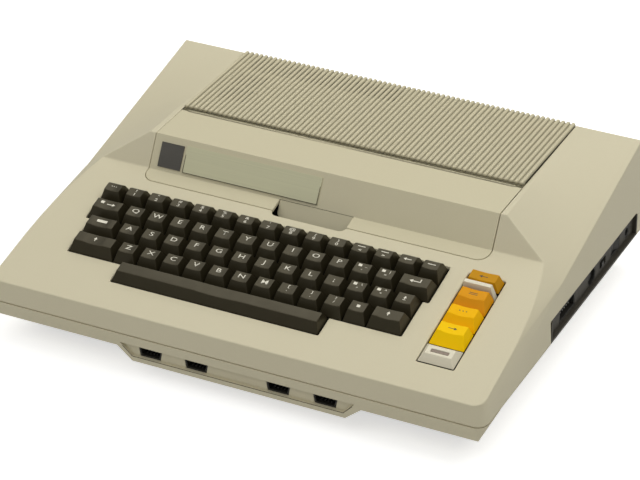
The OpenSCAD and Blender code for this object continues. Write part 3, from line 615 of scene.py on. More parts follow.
@dataclass(frozen=True)
class CircuitBoard(Finish):
    """Glass-fibre board: green mask over copper tracks."""

    def paint(self, shader: Shader) -> None:
        """Adds a lattice of tracks under the mask."""
        lattice = {"offset": 0.37, "offset_frequency": 3, "squash": 1.0}
        inputs = {"Vector": shader.place(), "Scale": 1.0, "Mortar Size": 0.0004}
        inputs |= {"Brick Width": 0.019, "Row Height": 0.0026}
        tracks = shader.node("ShaderNodeTexBrick", lattice, inputs, "Fac")
        shader.link("Base Color", shader.mix(tracks, self.colour, self.tone(1.9)))
        shader.link("Roughness", shader.noise(90, 3) * 0.15 + (self.roughness - 0.07))
        shader.bump(tracks, 0.035, 0.6)


@dataclass(frozen=True)
class Print(Finish):
    """Thin opaque ink on a key or panel."""

    def paint(self, shader: Shader) -> None:
        """Adds slight wear to the ink."""
        wear = shader.noise(800, 3)
        shader.link("Base Color", shader.mix(wear * 0.3, self.tone(1.05), self.tone(0.8)))
        shader.link("Roughness", wear * 0.1 + (self.roughness - 0.05))


@dataclass(frozen=True)
class Lens(Finish):
    """Tinted clear plastic of the lamp."""

    def paint(self, shader: Shader) -> None:
        """Adds depth to the tint."""
        depth = shader.noise(500, 1)
        shader.fix(Coat_Weight=0.6, Coat_Roughness=0.08)
        shader.link("Base Color", shader.mix(depth, self.tone(0.7), self.tone(1.3)))


class Skin(Enum):
    """Every finish that the machine wears."""

    CASE = Moulded("case_beige", srgb(203, 196, 170), 0.5, 0.3)
    LID = Moulded("cover_tan", srgb(199, 192, 164), 0.52, 0.3)
    BEZEL = Moulded("lamp_bezel_cream", srgb(222, 216, 196), 0.45, 0.25)
    KEY = KeyPlastic("key_dark", srgb(40, 36, 23), 0.34)
    START = KeyPlastic("key_start_yellow", srgb(255, 204, 0), 0.45, 0.1)
    SELECT = KeyPlastic("key_select_yellow", srgb(250, 188, 0), 0.45, 0.1)
    OPTION = KeyPlastic("key_option_orange", srgb(222, 152, 20), 0.45, 0.12)
    RESET = KeyPlastic("key_reset_amber", srgb(196, 140, 18), 0.45, 0.12)
    BLACK = BlackPlastic("black_plastic", srgb(34, 33, 28), 0.48)
    RECESS = BlackPlastic("recess_brown_black", srgb(56, 52, 42), 0.55)
    RUBBER = Rubber("rubber", srgb(38, 37, 35), 0.85)
    CAST = CastMetal("cast_aluminium", srgb(178, 180, 180), 0.5)
    STEEL = BrushedMetal("steel", srgb(168, 168, 165), 0.35)
    GOLD = BrushedMetal("gilt_contact", srgb(214, 178, 96), 0.3)
    BOARD = CircuitBoard("board_green", srgb(28, 84, 46), 0.35)
    MODULE = BlackPlastic("module_brown", srgb(72, 58, 46), 0.5)
    SLEEVE = KeyPlastic("capacitor_blue", srgb(36, 66, 128), 0.25)
    PLATE = BrushedMetal("badge_plate_grey", srgb(198, 196, 164), 0.45, 0.3, metallic=0.05)
    BADGE = BlackPlastic("badge_dark", srgb(66, 63, 56), 0.4)
    WHITE_INK = Print("white_ink", srgb(222, 218, 202), 0.5)
    DARK_INK = Print("dark_ink", srgb(70, 58, 36), 0.5)
    LINE_INK = Print("line_ink", srgb(74, 66, 46), 0.5)
    LENS = Lens("lamp_window", srgb(112, 92, 74), 0.3)
    # painted shadow: the dark colour of the bar that stands for the shade in the port recess's seam
    SEAM = Print("seam_shadow", srgb(66, 56, 34), 0.8)
    PLUNGER = KeyPlastic("plunger_red", srgb(160, 40, 30), 0.4)

    def material(self) -> Material:
        """Gives this finish's material."""
        return self.value.build()


# ---- the deck's turned frame


@dataclass
class DeckFrame:
    """The keyboard deck's own axes: X across, Y up the deck and Z out of it."""

    joint: str = "escape_key_press"

    def __post_init__(self) -> None:
        """Reads the deck's tilt from the way the keys travel."""
        axis = next(j["axis"] for j in frame["joints"] if j["name"] == self.joint)
        self.tilt = math.atan2(axis[1], -axis[2])
        self.to_world = Matrix.Rotation(self.tilt, 4, "X")
        self.to_deck = self.to_world.inverted()

    def box(self, node: str) -> tuple[Vector, Vector]:
        """Gives a CAD node's lowest and highest corner in the deck's axes.

        Args:
            node: The node's name.

        Returns:
            The two corners.
        """
        points = [self.to_deck @ v.co for v in frame["nodes"][node].data.vertices]
        low = Vector(min(p[i] for p in points) for i in range(3))
        high = Vector(max(p[i] for p in points) for i in range(3))
        return low, high

    def world(self, x: float, y: float, z: float) -> Vector:
        """Gives the place in the object's frame of a point in the deck's axes."""
        return self.to_world @ Vector((x, y, z))


# ---- case


@dataclass
class Case:
    """The two case halves, the lamp bezel and the feet, in millimetres.

    Attributes:
        deck: The deck's axes.
        edge: Rounding of the top case's edges.
        bezel_edge: Rounding of the bezel's edges.
        foot_edge: Rounding of the feet's edges.
        foot_h: Height of the zone that counts as the foot of the lamp's bezel.
        bezel_l: Length of that bezel up the deck.
        skirt_rise: How far its foot is brought up.
    """

    deck: DeckFrame
    edge: float = 0.9
    bezel_edge: float = 0.35
    foot_edge: float = 0.8
    foot_h: float = 1.5
    bezel_l: float = 20.0
    skirt_rise: float = 5.2

    def build(self) -> list[Object]:
        """Makes the case's pieces.

        Returns:
            The pieces.
        """
        top = dress(softened("top_case", self.edge, 4), Skin.CASE.material())
        bottom = smooth(dress(frame["nodes"]["bottom_case"], Skin.CASE.material()), 30)
        bezel = dress(softened("console_bezel", self.bezel_edge), Skin.BEZEL.material())
        self.skirt(bezel)
        feet = dress(softened("rubber_feet", self.foot_edge), Skin.RUBBER.material())
        dress(frame["nodes"]["case_screws"], Skin.STEEL.material())
        dress(frame["nodes"]["cable_grommet"], Skin.RUBBER.material())
        dress(frame["nodes"]["power_led"], Skin.LENS.material())
        return [top, bottom, bezel, feet]

    def skirt(self, bezel: Object) -> None:
        """Brings the foot of the lamp's bezel up to the deck, so that its slopes fill the recess.

        Args:
            bezel: The lamp's bezel and the guard.
        """
        corners = [self.deck.to_deck @ v.co for v in bezel.data.vertices]
        floor = min(c.z for c in corners)
        front = min(c.y for c in corners)
        for vertex, corner in zip(bezel.data.vertices, corners):
            if corner.z < floor + self.foot_h * MM and corner.y < front + self.bezel_l * MM:
                corner.z += self.skirt_rise * MM
                vertex.co = self.deck.to_world @ corner


@dataclass
class Lids:
    """The cartridge door, its latch and the ribbed cover, in millimetres.

    Attributes:
        edge: Rounding of the door's edges.
        latch_edge: Rounding of the latch's edges.
        latch_gap: How much nearer the latch's tongue comes to the door.
        tongue_side: Half width of the tongue's straight part.
        tongue_top: Height of the zone under the tongue's highest point that moves.
        top_over_pin: Height of the door's top face over its hinge.
        barrel_r: Radius of the door's round rear edge.
        dome_l: Length of the ribs' front domes, which the open door clears.
        pin_bearing: Length of each hinge pin's bearing.
        rib_pitch: Distance between two ribs.
        rib_r: Radius of a rib.
        crest_h: Height of the zone under the cover's highest point that counts as crests.
    """

    edge: float = 0.3
    latch_edge: float = 0.12
    latch_gap: float = 0.3
    tongue_side: float = 22.0
    tongue_top: float = 2.5
    top_over_pin: float = 2.05
    barrel_r: float = 2.45
    dome_l: float = 1.1
    pin_bearing: float = 5.6
    rib_pitch: float = 4.25
    rib_r: float = 1.6
    crest_h: float = 1.5

    def build(self) -> list[Object]:
        """Makes the lids.

        Returns:
            The pieces.
        """
        joint = next(j for j in frame["joints"] if j["name"] == "door_hinge")
        self.hinge = Vector(joint["pos_m"])
        self.top = self.hinge + Vector((0, 0, self.top_over_pin * MM))
        door = softened("cartridge_door", self.edge, angle=35, merge=0.02, level=False)
        dress(door, Skin.LID.material())
        for node in ("cover_latch_left", "cover_latch_right"):
            dress(frame["nodes"][node], Skin.BLACK.material())
        dress(frame["nodes"]["door_hinge_pins"], Skin.STEEL.material())
        ribs = self.rib_crests()
        skin = self.ribbed(*ribs)
        smooth(dress(frame["nodes"]["memory_cover"], skin), 30)
        return [door, self.latch(), self.barrel(), self.rib_ends(ribs, skin)]

    def latch(self) -> Object:
        """Makes the latch, with its tongue brought up to the door's slope.

        Returns:
            The latch.
        """
        piece = dress(softened("door_latch", self.latch_edge), Skin.LID.material())
        top = max(v.co.z for v in piece.data.vertices)
        angle = self.slope_angle()
        up = Vector((0, math.cos(angle), math.sin(angle))) * self.latch_gap * MM
        for vertex in piece.data.vertices:
            if vertex.co.z > top - self.tongue_top * MM:
                vertex.co += up
            if abs(vertex.co.x) > self.tongue_side * MM:
                vertex.co.x += math.copysign(2 * self.latch_gap * MM, vertex.co.x)
        return piece

    def slope_angle(self) -> float:
        """Gives the door slope's angle, in radians, from the badge plate that lies on it."""
        low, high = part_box("badge_plate")
        return math.atan2(high.z - low.z, high.y - low.y)

    def cut(self, place: Any, normal: Triple) -> None:
        """Cuts the active piece along a plane, closes it and drops what lies beyond the plane.

        Args:
            place: A point on the plane.
            normal: The direction in which the piece is dropped.
        """
        bpy.ops.object.mode_set(mode="EDIT")
        bpy.ops.mesh.select_all(action="SELECT")
        bpy.ops.mesh.bisect(plane_co=place, plane_no=normal, use_fill=True, clear_outer=True)
        bpy.ops.object.mode_set(mode="OBJECT")

    def rod(self, radius: float, length: float) -> Object:
        """Adds a rod about the axis of the door's hinge.

        Args:
            radius: Its radius in millimetres.
            length: Its length in metres.

        Returns:
            The rod.
        """
        deselect()
        turn = (0, math.pi / 2, 0)
        place = (0, self.hinge.y, self.hinge.z)
        bpy.ops.mesh.primitive_cylinder_add(
            vertices=96, radius=radius * MM, depth=length, location=place, rotation=turn
        )
        return settle(bpy.context.object)

    def barrel(self) -> Object:
        """Makes the door's rear edge: round about its hinge, cut off at the door's top face.

        Returns:
            The barrel.
        """
        low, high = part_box("cartridge_door")
        points = [v.co for v in frame["nodes"]["cartridge_door"].data.vertices]
        front = [p for p in points if p.y < self.top.y - 5 * MM]
        tilt = min(math.atan2(self.top.z - p.z, self.top.y - p.y) for p in front)
        piece = self.rod(self.barrel_r, high.x - low.x - 2 * self.pin_bearing * MM)
        piece.name = "door_barrel"
        self.cut(self.top, (0, -math.sin(tilt), math.cos(tilt)))
        smooth(dress(piece, Skin.LID.material()), 40)
        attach(piece, "door")
        return piece

    def rib_crests(self) -> tuple[Vector, Vector]:
        """Gives the front and the rear end of the ribs' crest line."""
        points = [v.co for v in frame["nodes"]["memory_cover"].data.vertices]
        crest = max(p.z for p in points) - self.crest_h * MM
        ribs = [p for p in points if p.z > crest]
        ends = []
        for end in (min(p.y for p in ribs), max(p.y for p in ribs)):
            ends.append(Vector((0, end, max(p.z for p in ribs if abs(p.y - end) < 0.2 * MM))))
        return ends[0], ends[1]

    def ribbed(self, front: Vector, rear: Vector) -> Material:
        """Makes the cover's material, whose grooves follow the crest line.

        Args:
            front: The front end of the crest line.
            rear: Its rear end.

        Returns:
            The material.
        """
        lid = Skin.LID.value
        slope = (rear.z - front.z) / (rear.y - front.y)
        level = front.z - self.rib_r * MM
        look = ("cover_ribs", lid.colour, lid.roughness, lid.shine)
        return Ribbed(*look, depth=front.y, height=level, slope=slope).build()

    def rib_ends(self, crests: tuple[Vector, Vector], skin: Material) -> Object:
        """Makes the domes at the front and the rear end of every rib.

        Args:
            crests: The front and the rear end of the crest line.
            skin: The cover's material.

        Returns:
            The domes as one piece.
        """
        low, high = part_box("memory_cover")
        count = math.floor((high.x - low.x - 2 * self.rib_r * MM) / (self.rib_pitch * MM)) + 1
        left = -(count - 1) * self.rib_pitch * MM / 2
        domes = []
        for crest, side, length in zip(crests, (1, -1), (self.dome_l, self.rib_r)):
            deselect()
            place = (left, crest.y, crest.z - self.rib_r * MM)
            size = (self.rib_r * MM, length * MM, self.rib_r * MM)
            bpy.ops.mesh.primitive_uv_sphere_add(
                segments=20, ring_count=10, radius=1, location=place, scale=size
            )
            dome = settle(bpy.context.object)
            self.cut(place, (0, side, 0))
            domes.append(repeated(dome, count, Vector((self.rib_pitch * MM, 0, 0))))
        piece = join(domes, "rib_ends")
        smooth(dress(piece, skin), 50)
        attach(piece, "cover")
        return piece


# ---- keys


class Icon(Enum):
    """Plain signs in place of words.

    Each holds its bars (x, y, width, height) and its wedges (x, y, size, turn).
    """

    ARROW_LEFT = (((0.15, 0.0, 0.7, 0.1),), ((-0.3, 0.0, 0.24, 90),))
    ARROW_RIGHT = (((-0.15, 0.0, 0.7, 0.1),), ((0.3, 0.0, 0.24, -90),))
    ARROW_UP = (((0.0, -0.2, 0.16, 0.42),), ((0.0, 0.16, 0.36, 0),))
    ARROW_BAR = (((0.0, -0.1, 0.16, 0.3), (0.0, -0.42, 0.6, 0.1)), ((0.0, 0.2, 0.34, 0),))
    RETURN = (((0.1, -0.1, 0.8, 0.09), (0.455, 0.09, 0.09, 0.3)), ((-0.34, -0.1, 0.2, 90),))
    BLOCK = (((0.0, 0.0, 1.0, 0.3),), ())
    SQUARE = (((0.0, 0.0, 1.0, 0.9),), ())
    BARS = (((0.0, 0.11, 1.0, 0.08), (0.0, -0.11, 1.0, 0.08)), ())
    DASH = (((0.0, 0.0, 1.0, 0.1),), ())
    DOTS = (((-0.4, 0.0, 0.14, 0.14), (0.0, 0.0, 0.14, 0.14), (0.4, 0.0, 0.14, 0.14)), ())

    @property
    def bars(self) -> tuple[tuple[float, float, float, float], ...]:
        """The sign's bars."""
        return self.value[0]

    @property
    def wedges(self) -> tuple[tuple[float, float, float, float], ...]:
        """The sign's arrow heads."""
        return self.value[1]


Signs = tuple[tuple[str | Icon, float, float, float], ...]


@dataclass
class Legend:
    """Marks to print on key tops, gathered into one thin piece.

    Attributes:
        deck: The deck's axes.
        lift: How far the ink stands over the key in millimetres.
        wide: How much wider a letter is than the font draws it.
        em: The font's size over the height of its capitals.
        bold: How much thicker its strokes are, in metres on each side.
        marks: The marks made so far.
    """

    deck: DeckFrame
    lift: float = 0.03
    wide: float = 1.35
    em: float = 1.36
    bold: float = 0.00003
    marks: list[Object] = field(default_factory=list)

    def draw(self, sign: str | Icon, x: float, y: float, z: float, size: float) -> None:
        """Draws a plain sign, or writes a letter or a digit.

        Args:
            sign: The sign or what is written.
            x: Its middle across the deck, in metres.
            y: Its middle up the deck, in metres.
            z: The height it is drawn at, in metres.
            size: A sign's width or a letter's height, in millimetres.
        """
        if isinstance(sign, Icon):
            self.icon(sign, x, y, z, size * MM)
        else:
            self.text(sign, self.deck.world(x, y, z), size)

    def text(self, words: str, place: Vector, size: float) -> None:
        """Writes a letter or a digit.

        Args:
            words: What is written.
            place: Its middle, in metres.
            size: Its height in millimetres.
        """
        deselect()
        bpy.ops.object.text_add(location=place, rotation=(self.deck.tilt, 0, 0))
        made = bpy.context.object
        made.data.body = words
        made.data.size = size * self.em * MM
        made.data.align_x = "CENTER"
        made.data.align_y = "CENTER"
        made.data.resolution_u = 3
        made.data.fill_mode = "FRONT"
        made.data.offset = self.bold
        made.scale.x = self.wide
        bpy.ops.object.convert(target="MESH")
        self.marks.append(bpy.context.object)

    def icon(self, sign: Icon, x: float, y: float, z: float, unit: float) -> None:
        """Draws a plain sign from its bars and wedges.

        Args:
            sign: The sign.
            x: Its middle across the deck.
            y: Its middle up the deck.
            z: The height it is drawn at.
            unit: Its width, in metres like the rest.
        """
        for bar_x, bar_y, wide, high in sign.bars:
            place = self.deck.world(x + bar_x * unit, y + bar_y * unit, z)
            turn = (self.deck.tilt, 0, 0)
            deselect()
            bpy.ops.mesh.primitive_grid_add(
                x_subdivisions=6, y_subdivisions=1, size=1, location=place, rotation=turn
            )
            bpy.context.object.scale = (wide * unit, high * unit, 1)
            self.marks.append(bpy.context.object)
        for head_x, head_y, wide, turn in sign.wedges:
            place = self.deck.world(x + head_x * unit, y + head_y * unit, z)
            deselect()
            bpy.ops.mesh.primitive_circle_add(
                vertices=3, radius=wide * unit, fill_type="NGON", location=place
            )
            made = bpy.context.object
            spin = Matrix.Rotation(math.radians(turn), 4, "Z")
            made.matrix_world = Matrix.Translation(place) @ self.deck.to_world @ spin
            self.marks.append(made)

    def lay(self, name: str, target: Object, ink: Skin) -> None:
        """Lays the gathered marks down on the key tops, as one piece that rides with them.

        Args:
            name: The new piece's name.
            target: The keys that are printed.
            ink: The ink.
        """
        piece = join(self.marks, name)
        piece.data.transform(self.deck.to_deck)
        key = target.copy()
        key.data = target.data.copy()
        key.parent = None
        key.matrix_world = Matrix.Identity(4)
        bpy.context.scene.collection.objects.link(key)
        key.data.transform(self.deck.to_deck)
        way = {"wrap_method": "PROJECT", "use_project_z": True}
        both = {"use_negative_direction": True, "use_positive_direction": True}
        modify(piece, "SHRINKWRAP", target=key, offset=self.lift * MM, **way, **both)
        bpy.data.objects.remove(key)
        modify(piece, "SOLIDIFY", thickness=2 * self.lift * MM, offset=-1)
        piece.data.transform(self.deck.to_world)
        dress(piece, ink.material())
        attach(piece, body_of(target)[0])


@dataclass
class Keyboard:
    """The dark keys, the four console keys and what is printed on them.

    Attributes:
        deck: The deck's axes.
        edge: Rounding of the caps' edges in millimetres.
        letter: Height of a letter in millimetres.
        top_back: How far the middle of a cap's top lies behind its foot's, in millimetres.
        sign_back: How far a console key's sign lies before its rear edge, in millimetres.
    """

    deck: DeckFrame
    edge: float = 0.4
    letter: float = 4.3
    top_back: float = 1.3
    sign_back: float = 5.0

    ROWS = {
        "upper_letter_keys": "Q W E R T Y U I O P #_- #|=",
        "home_letter_keys": r"A S D F G H J K L ; #\+ #^*",
        "lower_letter_keys": "Z X C V B N M [, ]. ?/ #",
        "digit_keys": "1! 2\" 3# 4$ 5% 6& 7' 8@ 9( 0) < > ~",
    }
    SINGLE = {
        "escape_key": ((Icon.DOTS, 0.0, 0.0, 4.6),),
        "break_key": ((Icon.DASH, 0.0, 0.0, 6.4),),
        "tab_key": ((Icon.SQUARE, -5.4, 1.6, 2.8), (Icon.ARROW_RIGHT, 2.2, 0.4, 7.0)),
        "return_key": ((Icon.RETURN, 0.0, 0.6, 8.6),),
        "control_key": ((Icon.BLOCK, 0.0, 0.8, 8.6),),
        "caps_key": ((Icon.ARROW_BAR, 0.0, 0.0, 4.2),),
        "left_shift_key": ((Icon.ARROW_UP, 0.0, 0.4, 4.4),),
        "right_shift_key": ((Icon.ARROW_UP, 0.0, 0.4, 4.4),),
    }
    CONSOLE = {
        "start_key": (Skin.START, Icon.ARROW_RIGHT),
        "select_key": (Skin.SELECT, Icon.DOTS),
        "option_key": (Skin.OPTION, Icon.BARS),
        "reset_key": (Skin.RESET, Icon.ARROW_LEFT),
    }

    def build(self) -> list[Object]:
        """Makes all the keys and their legends.

        Returns:
            The pieces.
        """
        escape = self.deck.box("escape_key")
        stop = self.deck.box("break_key")
        self.pitch = (stop[0].x - escape[0].x) / 14
        self.gap = self.pitch - (escape[1].x - escape[0].x)
        made = [self.cap("space_bar", Skin.KEY)]
        made += [self.row(node, marks) for node, marks in self.ROWS.items()]
        made += [self.single(node, signs) for node, signs in self.SINGLE.items()]
        made += [self.console(node, skin, sign) for node, (skin, sign) in self.CONSOLE.items()]
        return made

    def cap(self, node: str, skin: Skin) -> Object:
        """Rounds and colours one node of key caps."""
        return dress(softened(node, self.edge, angle=24), skin.material())

    def centres(self, node: str, count: int) -> list[tuple[float, float]]:
        """Gives the middle of each key top in a row, in the deck's axes.

        Args:
            node: The row's CAD node.
            count: The number of keys.

        Returns:
            A list of places across and up the deck.
        """
        low, high = self.deck.box(node)
        middle = (low.y + high.y) / 2 + self.top_back * MM
        first = low.x + (self.pitch - self.gap) / 2
        return [(first + i * self.pitch, middle) for i in range(count)]

    def row(self, node: str, marks: str) -> Object:
        """Makes one row of one-unit keys.

        Args:
            node: The row's CAD node.
            marks: What is on each key, between spaces.

        Returns:
            The row's caps.
        """
        caps = self.cap(node, Skin.KEY)
        legend = Legend(self.deck)
        height = self.deck.box(node)[1].z + MARK_RISE * MM
        signs = marks.split()
        layout = self.digit_signs if node == "digit_keys" else self.letter_signs
        for mark, (x, y) in zip(signs, self.centres(node, len(signs))):
            for sign, across, up, size in layout(mark):
                legend.draw(sign, x + across * MM, y + up * MM, height, size)
        legend.lay(f"{node}_legends", caps, Skin.WHITE_INK)
        return caps

    def letter_signs(self, mark: str) -> Signs:
        """Lays out a letter key.

        Args:
            mark: A letter, or an upper and a lower sign; a leading # stands for a block.

        Returns:
            Each sign with its place across and up the key and its size, in millimetres.
        """
        if mark == "#":
            return ((Icon.SQUARE, 0, 0.5, 2.7),)
        if mark[0] == "#":
            pair = ((mark[1], 2.6, 2.4, 2.4), (mark[2], 0, -1.4, 2.2))
            return ((Icon.SQUARE, -2.6, 2.4, 2.7), *pair)
        if len(mark) == 2:
            return ((mark[0], 0, 2.4, 2.7), (mark[1], 0, -1.4, 2.4))
        return ((mark, 0, 0.5, self.letter),)

    def digit_signs(self, mark: str) -> Signs:
        """Lays out a digit in front of its shifted sign or of a dash, or an arrow for a tilde."""
        if mark == "~":
            return ((Icon.ARROW_LEFT, 0, -0.6, 6.4),)
        behind = (mark[1], 0, 0.9, 2.8) if len(mark) > 1 else (Icon.DASH, 0, 0.8, 6.2)
        return ((mark[0], 0, -3.0, 2.9), behind)

    def single(self, node: str, signs: Signs) -> Object:
        """Makes one dark key that moves alone, with its signs."""
        return self.signed(node, Skin.KEY, signs, self.top_back, Skin.WHITE_INK)

    def console(self, node: str, skin: Skin, sign: Icon) -> Object:
        """Makes one console key with the sign that is printed on it."""
        low, high = self.deck.box(node)
        back = (high.y - low.y) / 2 / MM - self.sign_back
        return self.signed(node, skin, ((sign, 0.0, 0.0, 6.6),), back, Skin.DARK_INK)

    def signed(self, node: str, skin: Skin, signs: Signs, back: float, ink: Skin) -> Object:
        """Makes a cap and prints its signs.

        Args:
            node: Its CAD node.
            skin: Its plastic.
            signs: Each sign with its place across and up the key and its width, in millimetres.
            back: How far behind the cap's middle the signs stand, in millimetres.
            ink: The ink.

        Returns:
            The cap.
        """
        cap = self.cap(node, skin)
        low, high = self.deck.box(node)
        legend = Legend(self.deck)
        for sign, across, up, size in signs:
            x = (low.x + high.x) / 2 + across * MM
            y = (low.y + high.y) / 2 + (back + up) * MM
            legend.draw(sign, x, y, high.z + MARK_RISE * MM, size)
        legend.lay(f"{node}_legend", cap, ink)
        return cap


# ---- sockets, boards and the inside


@dataclass
class Inside:
    """What stands inside the case and in its openings: finishes for the CAD nodes."""

    FINISHES = {
        Skin.BLACK: (
            "bay_frame", "cartridge_guides", "cartridge_connectors", "interlock_switch",
            "peripheral_port", "monitor_jack", "channel_slider", "power_switch", "power_rocker",
            "power_jack", "controller_ports", "module_sockets", "speaker", "keyboard_plate",
            "key_switches",
        ),
        Skin.RECESS: ("side_bezel",),
        Skin.CAST: ("cast_shield", "heat_sink", "rf_modulator", "channel_switch"),
        Skin.BOARD: ("main_board", "cpu_board", "power_board", "keyboard_board"),
        Skin.MODULE: ("rom_module", "memory_modules"),
        Skin.SLEEVE: ("filter_capacitors",),
        Skin.PLUNGER: ("interlock_plunger",),
        Skin.PLATE: ("badge_plate",),
        Skin.BADGE: ("badge_square",),
    }

    def build(self) -> list[Object]:
        """Dresses the nodes.

        Returns:
            The dressed nodes.
        """
        done = []
        for skin, nodes in self.FINISHES.items():
            for node in nodes:
                done.append(smooth(dress(frame["nodes"][node], skin.material()), 30))
        return done


@dataclass
class Sockets:
    """The contacts in the sockets and the lines around the port recess and the badge.

    Lengths are in millimetres, and a contact is (radius, length).

    Attributes:
        port_x: Middles of the four controller ports.
        port_pitch: Distance between two contacts of a port.
        port_rise: Height of a port's upper row over its middle.
        port_depth: Depth of the contacts' middles behind the ports' front.
        port_drop: Depth of the ports' middles under their top.
        port_pin: A controller port's contact.
        side_pitch: Distance between two contacts of the peripheral port.
        side_pin: A contact of that port.
        side_in: Depth of the contacts' middles inside the port's face.
        side_drop: Depth of the port's middle under its top.
        side_rise: Height of its upper row over its middle.
        blade: Size of a contact spring in a cartridge connector.
        blade_pitch: Distance between two of them.
        blades: How many there are on each side of a slot.
        blade_start: Distance of the first from the connector's end.
        blade_drop: Depth of their middles under the connector's top.
        blade_side: Distance of each row from the slot's middle.
        slot_l: Length of a cartridge connector.
        panel: Corners of the port recess, seen from the front.
        panel_back: How far its seam lies behind the front of the bottom case.
        badge_h: Height of the badge plate along the slope.
        badge_inset: How much shorter the line around it is than the plate.
        badge_lift: Height of that line over the plate's middle.
        line: Width and thickness of that line.
    """

    port_x: tuple[float, ...] = (-64.9, -26.7, 40.4, 78.3)
    port_pitch: float = 2.76
    port_rise: float = 1.42
    port_depth: float = 4.85
    port_drop: float = 3.9
    port_pin: tuple[float, float] = (0.54, 5.9)
    side_pitch: float = 4.0
    side_pin: tuple[float, float] = (0.7, 12.0)
    side_in: float = 8.5
    side_drop: float = 5.6
    side_rise: float = 2.0
    blade: Triple = (1.2, 0.35, 14.0)
    blade_pitch: float = 3.14
    blades: int = 15
    blade_start: float = 6.0
    blade_drop: float = 8.0
    blade_side: float = 1.3
    slot_l: float = 56.0
    panel: tuple[tuple[float, float], ...] = (
        (-88.6, 25.2),
        (-79.2, 16.7),
        (93.8, 16.7),
        (101.9, 25.2),
    )
    panel_back: float = 1.2
    badge_h: float = 21.4
    badge_inset: float = 0.8
    badge_lift: float = 0.42
    line: tuple[float, float] = (0.5, 0.1)

    def build(self) -> list[Object]:
        """Makes the contacts and the lines.

        Returns:
            The pieces.
        """
        pins = [self.controller_pins(), self.peripheral_pins(), self.slot_contacts()]
        return pins + [self.panel_seam(), self.rim()]

    def finish(self, parts: list[Object], name: str, skin: Skin, body: str = "base") -> Object:
        """Joins small parts into one dressed piece.

        Args:
            parts: The parts.
            name: The new piece's name.
            skin: Its finish.
            body: The body that it rides on.

        Returns:
            The piece.
        """
        piece = join(parts, name)
        smooth(dress(piece, skin.material()), 35)
        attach(piece, body)
        return piece

    def controller_pins(self) -> Object:
        """Makes the nine contacts of each controller port."""
        low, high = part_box("controller_ports")
        depth = low.y + self.port_depth * MM
        middle = high.z - self.port_drop * MM
        pins = []
        for x in self.port_x:
            for count, rise in ((5, self.port_rise), (4, -self.port_rise)):
                first = (x - (count - 1) / 2 * self.port_pitch) * MM
                place = Vector((first, depth, middle + rise * MM))
                one = pin(*self.port_pin, place, (math.pi / 2, 0, 0))
                pins.append(repeated(one, count, Vector((self.port_pitch * MM, 0, 0))))
        return self.finish(pins, "controller_contacts", Skin.STEEL)

    def peripheral_pins(self) -> Object:
        """Makes the thirteen contacts of the peripheral port."""
        low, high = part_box("peripheral_port")
        across = high.x - self.side_in * MM
        middle = Vector((across, (low.y + high.y) / 2, high.z - self.side_drop * MM))
        rows = []
        for count, rise in ((7, self.side_rise), (6, -self.side_rise)):
            first = middle + Vector((0, -(count - 1) * self.side_pitch / 2 * MM, rise * MM))
            one = pin(*self.side_pin, first, (0, math.pi / 2, 0))
            rows.append(repeated(one, count, Vector((0, self.side_pitch * MM, 0))))
        return self.finish(rows, "peripheral_contacts", Skin.STEEL)

    def slot_contacts(self) -> Object:
        """Makes the gilt springs in the two cartridge connectors."""
        low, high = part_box("cartridge_connectors")
        middle = (low.y + high.y) / 2
        rows = []
        for left in (low.x, high.x - self.slot_l * MM):
            for depth in (-self.blade_side, self.blade_side):
                first = left + self.blade_start * MM
                place = Vector((first, middle + depth * MM, high.z - self.blade_drop * MM))
                one = turned_box(self.blade, place)
                rows.append(repeated(one, self.blades, Vector((self.blade_pitch * MM, 0, 0))))
        return self.finish(rows, "slot_contacts", Skin.GOLD)

    def panel_seam(self) -> Object:
        """Makes a dark bar around the lower edges of the port recess: a painted shadow of its fine
        seam.
        """
        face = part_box("bottom_case")[0].y + self.panel_back * MM
        bars = []
        for (x0, z0), (x1, z1) in zip(self.panel, self.panel[1:]):
            length = math.hypot(x1 - x0, z1 - z0)
            place = Vector(((x0 + x1) / 2 * MM, face, (z0 + z1) / 2 * MM))
            turn = (0, -math.atan2(z1 - z0, x1 - x0), 0)
            bars.append(turned_box((length, 0.7, 0.45), place, turn))
        return self.finish(bars, "port_panel_seam", Skin.SEAM)

    def rim(self) -> Object:
        """Makes the raised dark line around the badge plate."""
        low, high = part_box("badge_plate")
        slope = math.atan2(high.z - low.z, high.y - low.y)
        wide = (high.x - low.x) / MM - self.badge_inset
        normal = Vector((0, -math.sin(slope), math.cos(slope)))
        along = Vector((0, math.cos(slope), math.sin(slope)))
        tall = self.badge_h - self.badge_inset
        top = (low + high) / 2 + normal * self.badge_lift * MM
        turn = (slope, 0, 0)
        width, thick = self.line
        bars = []
        for side in (-1, 1):
            end = top + along * side * tall / 2 * MM
            bars.append(turned_box((wide, width, thick), end, turn))
            across = Vector((side * wide / 2 * MM, 0, 0))
            bars.append(turned_box((width, tall, thick), top + across, turn))
        return self.finish(bars, "badge_rim", Skin.LINE_INK, "door")


# ---- floor, light and camera


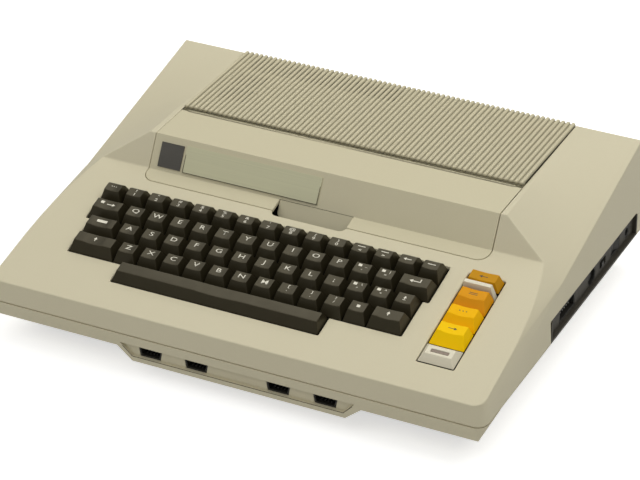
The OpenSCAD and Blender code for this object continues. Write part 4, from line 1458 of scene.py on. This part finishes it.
@dataclass
class Studio:
    """A white floor, soft lamps and the camera of the photograph."""

    def build(self) -> None:
        """Sets the stage."""
        self.floor()
        self.lamps()
        self.camera()
        bpy.context.scene.view_settings.view_transform = "Standard"

    def floor(self) -> None:
        """Makes a floor that the camera sees as white, apart from the object's shadow."""
        deselect()
        bpy.ops.mesh.primitive_plane_add(size=14, location=(0, 0, 0))
        plane = bpy.context.object
        plane.name = "floor"
        shader = Shader("floor_white")
        shader.fix(Base_Color=(0.7, 0.7, 0.7, 1), Roughness=0.9, Emission_Strength=0.6)
        seen = shader.node("ShaderNodeLightPath", {}, {}, "Is Camera Ray")
        shader.link("Emission Color", shader.mix(seen, (0, 0, 0, 1), (1, 1, 1, 1)))
        dress(plane, shader.material)

    def lamps(self) -> None:
        """Hangs the lamps and lights the world, which the camera sees as white."""
        lamps = (
            ("key", (0.75, 0.2, 1.55), 1.2, 11.5, (1.0, 0.99, 0.96)),
            ("sheen", (-0.54, 1.11, 1.7), 1.3, 8.5, (1.0, 0.97, 0.86)),
            ("front_fill", (-0.9, -1.35, 1.75), 1.4, 12.0, (1.0, 0.99, 0.96)),
        )
        for name, place, size, power, colour in lamps:
            deselect()
            bpy.ops.object.light_add(type="AREA", location=place)
            lamp = bpy.context.object
            lamp.name = name
            lamp.data.size = size
            lamp.data.energy = power
            lamp.data.color = colour
            lamp.rotation_euler = (-Vector(place)).to_track_quat("-Z", "Y").to_euler()
        world = bpy.data.worlds.new("studio")
        bpy.context.scene.world = world
        world.use_nodes = True
        tree = world.node_tree
        glow = tree.nodes["Background"]
        glow.inputs["Color"].default_value = (1, 1, 1, 1)
        where = tree.nodes.new("ShaderNodeTexCoord")
        split = tree.nodes.new("ShaderNodeSeparateXYZ")
        rise = tree.nodes.new("ShaderNodeMapRange")
        rise.inputs["From Max"].default_value = 0.9
        rise.inputs["To Min"].default_value = 0.26
        rise.inputs["To Max"].default_value = 0.46
        tree.links.new(where.outputs["Generated"], split.inputs[0])
        tree.links.new(split.outputs["Z"], rise.inputs["Value"])
        tree.links.new(rise.outputs[0], glow.inputs["Strength"])
        seen = tree.nodes.new("ShaderNodeBackground")
        seen.inputs["Color"].default_value = (1, 1, 1, 1)
        mixed = tree.nodes.new("ShaderNodeMixShader")
        path = tree.nodes.new("ShaderNodeLightPath")
        tree.links.new(path.outputs["Is Camera Ray"], mixed.inputs[0])
        tree.links.new(glow.outputs[0], mixed.inputs[1])
        tree.links.new(seen.outputs[0], mixed.inputs[2])
        tree.links.new(mixed.outputs[0], tree.nodes["World Output"].inputs["Surface"])

    def camera(self) -> None:
        """Puts the camera where the photograph was taken from."""
        deselect()
        turn = tuple(math.radians(angle) for angle in CAMERA_TURN)
        bpy.ops.object.camera_add(location=CAMERA_PLACE, rotation=turn)
        camera = bpy.context.object
        camera.data.lens = CAMERA_LENS
        camera.data.sensor_width = 36
        bpy.context.scene.camera = camera


def main() -> None:
    """Builds every sub-assembly and reports its pieces."""
    logging.basicConfig(level=logging.INFO, format="%(message)s")
    deck = DeckFrame()
    Studio().build()
    parts: Iterable[Any] = (Case(deck), Lids(), Keyboard(deck), Inside(), Sockets())
    for part in parts:
        for piece in part.build():
            log.info("%s: %s", type(part).__name__, piece.name)


if __name__ == "__main__":
    main()
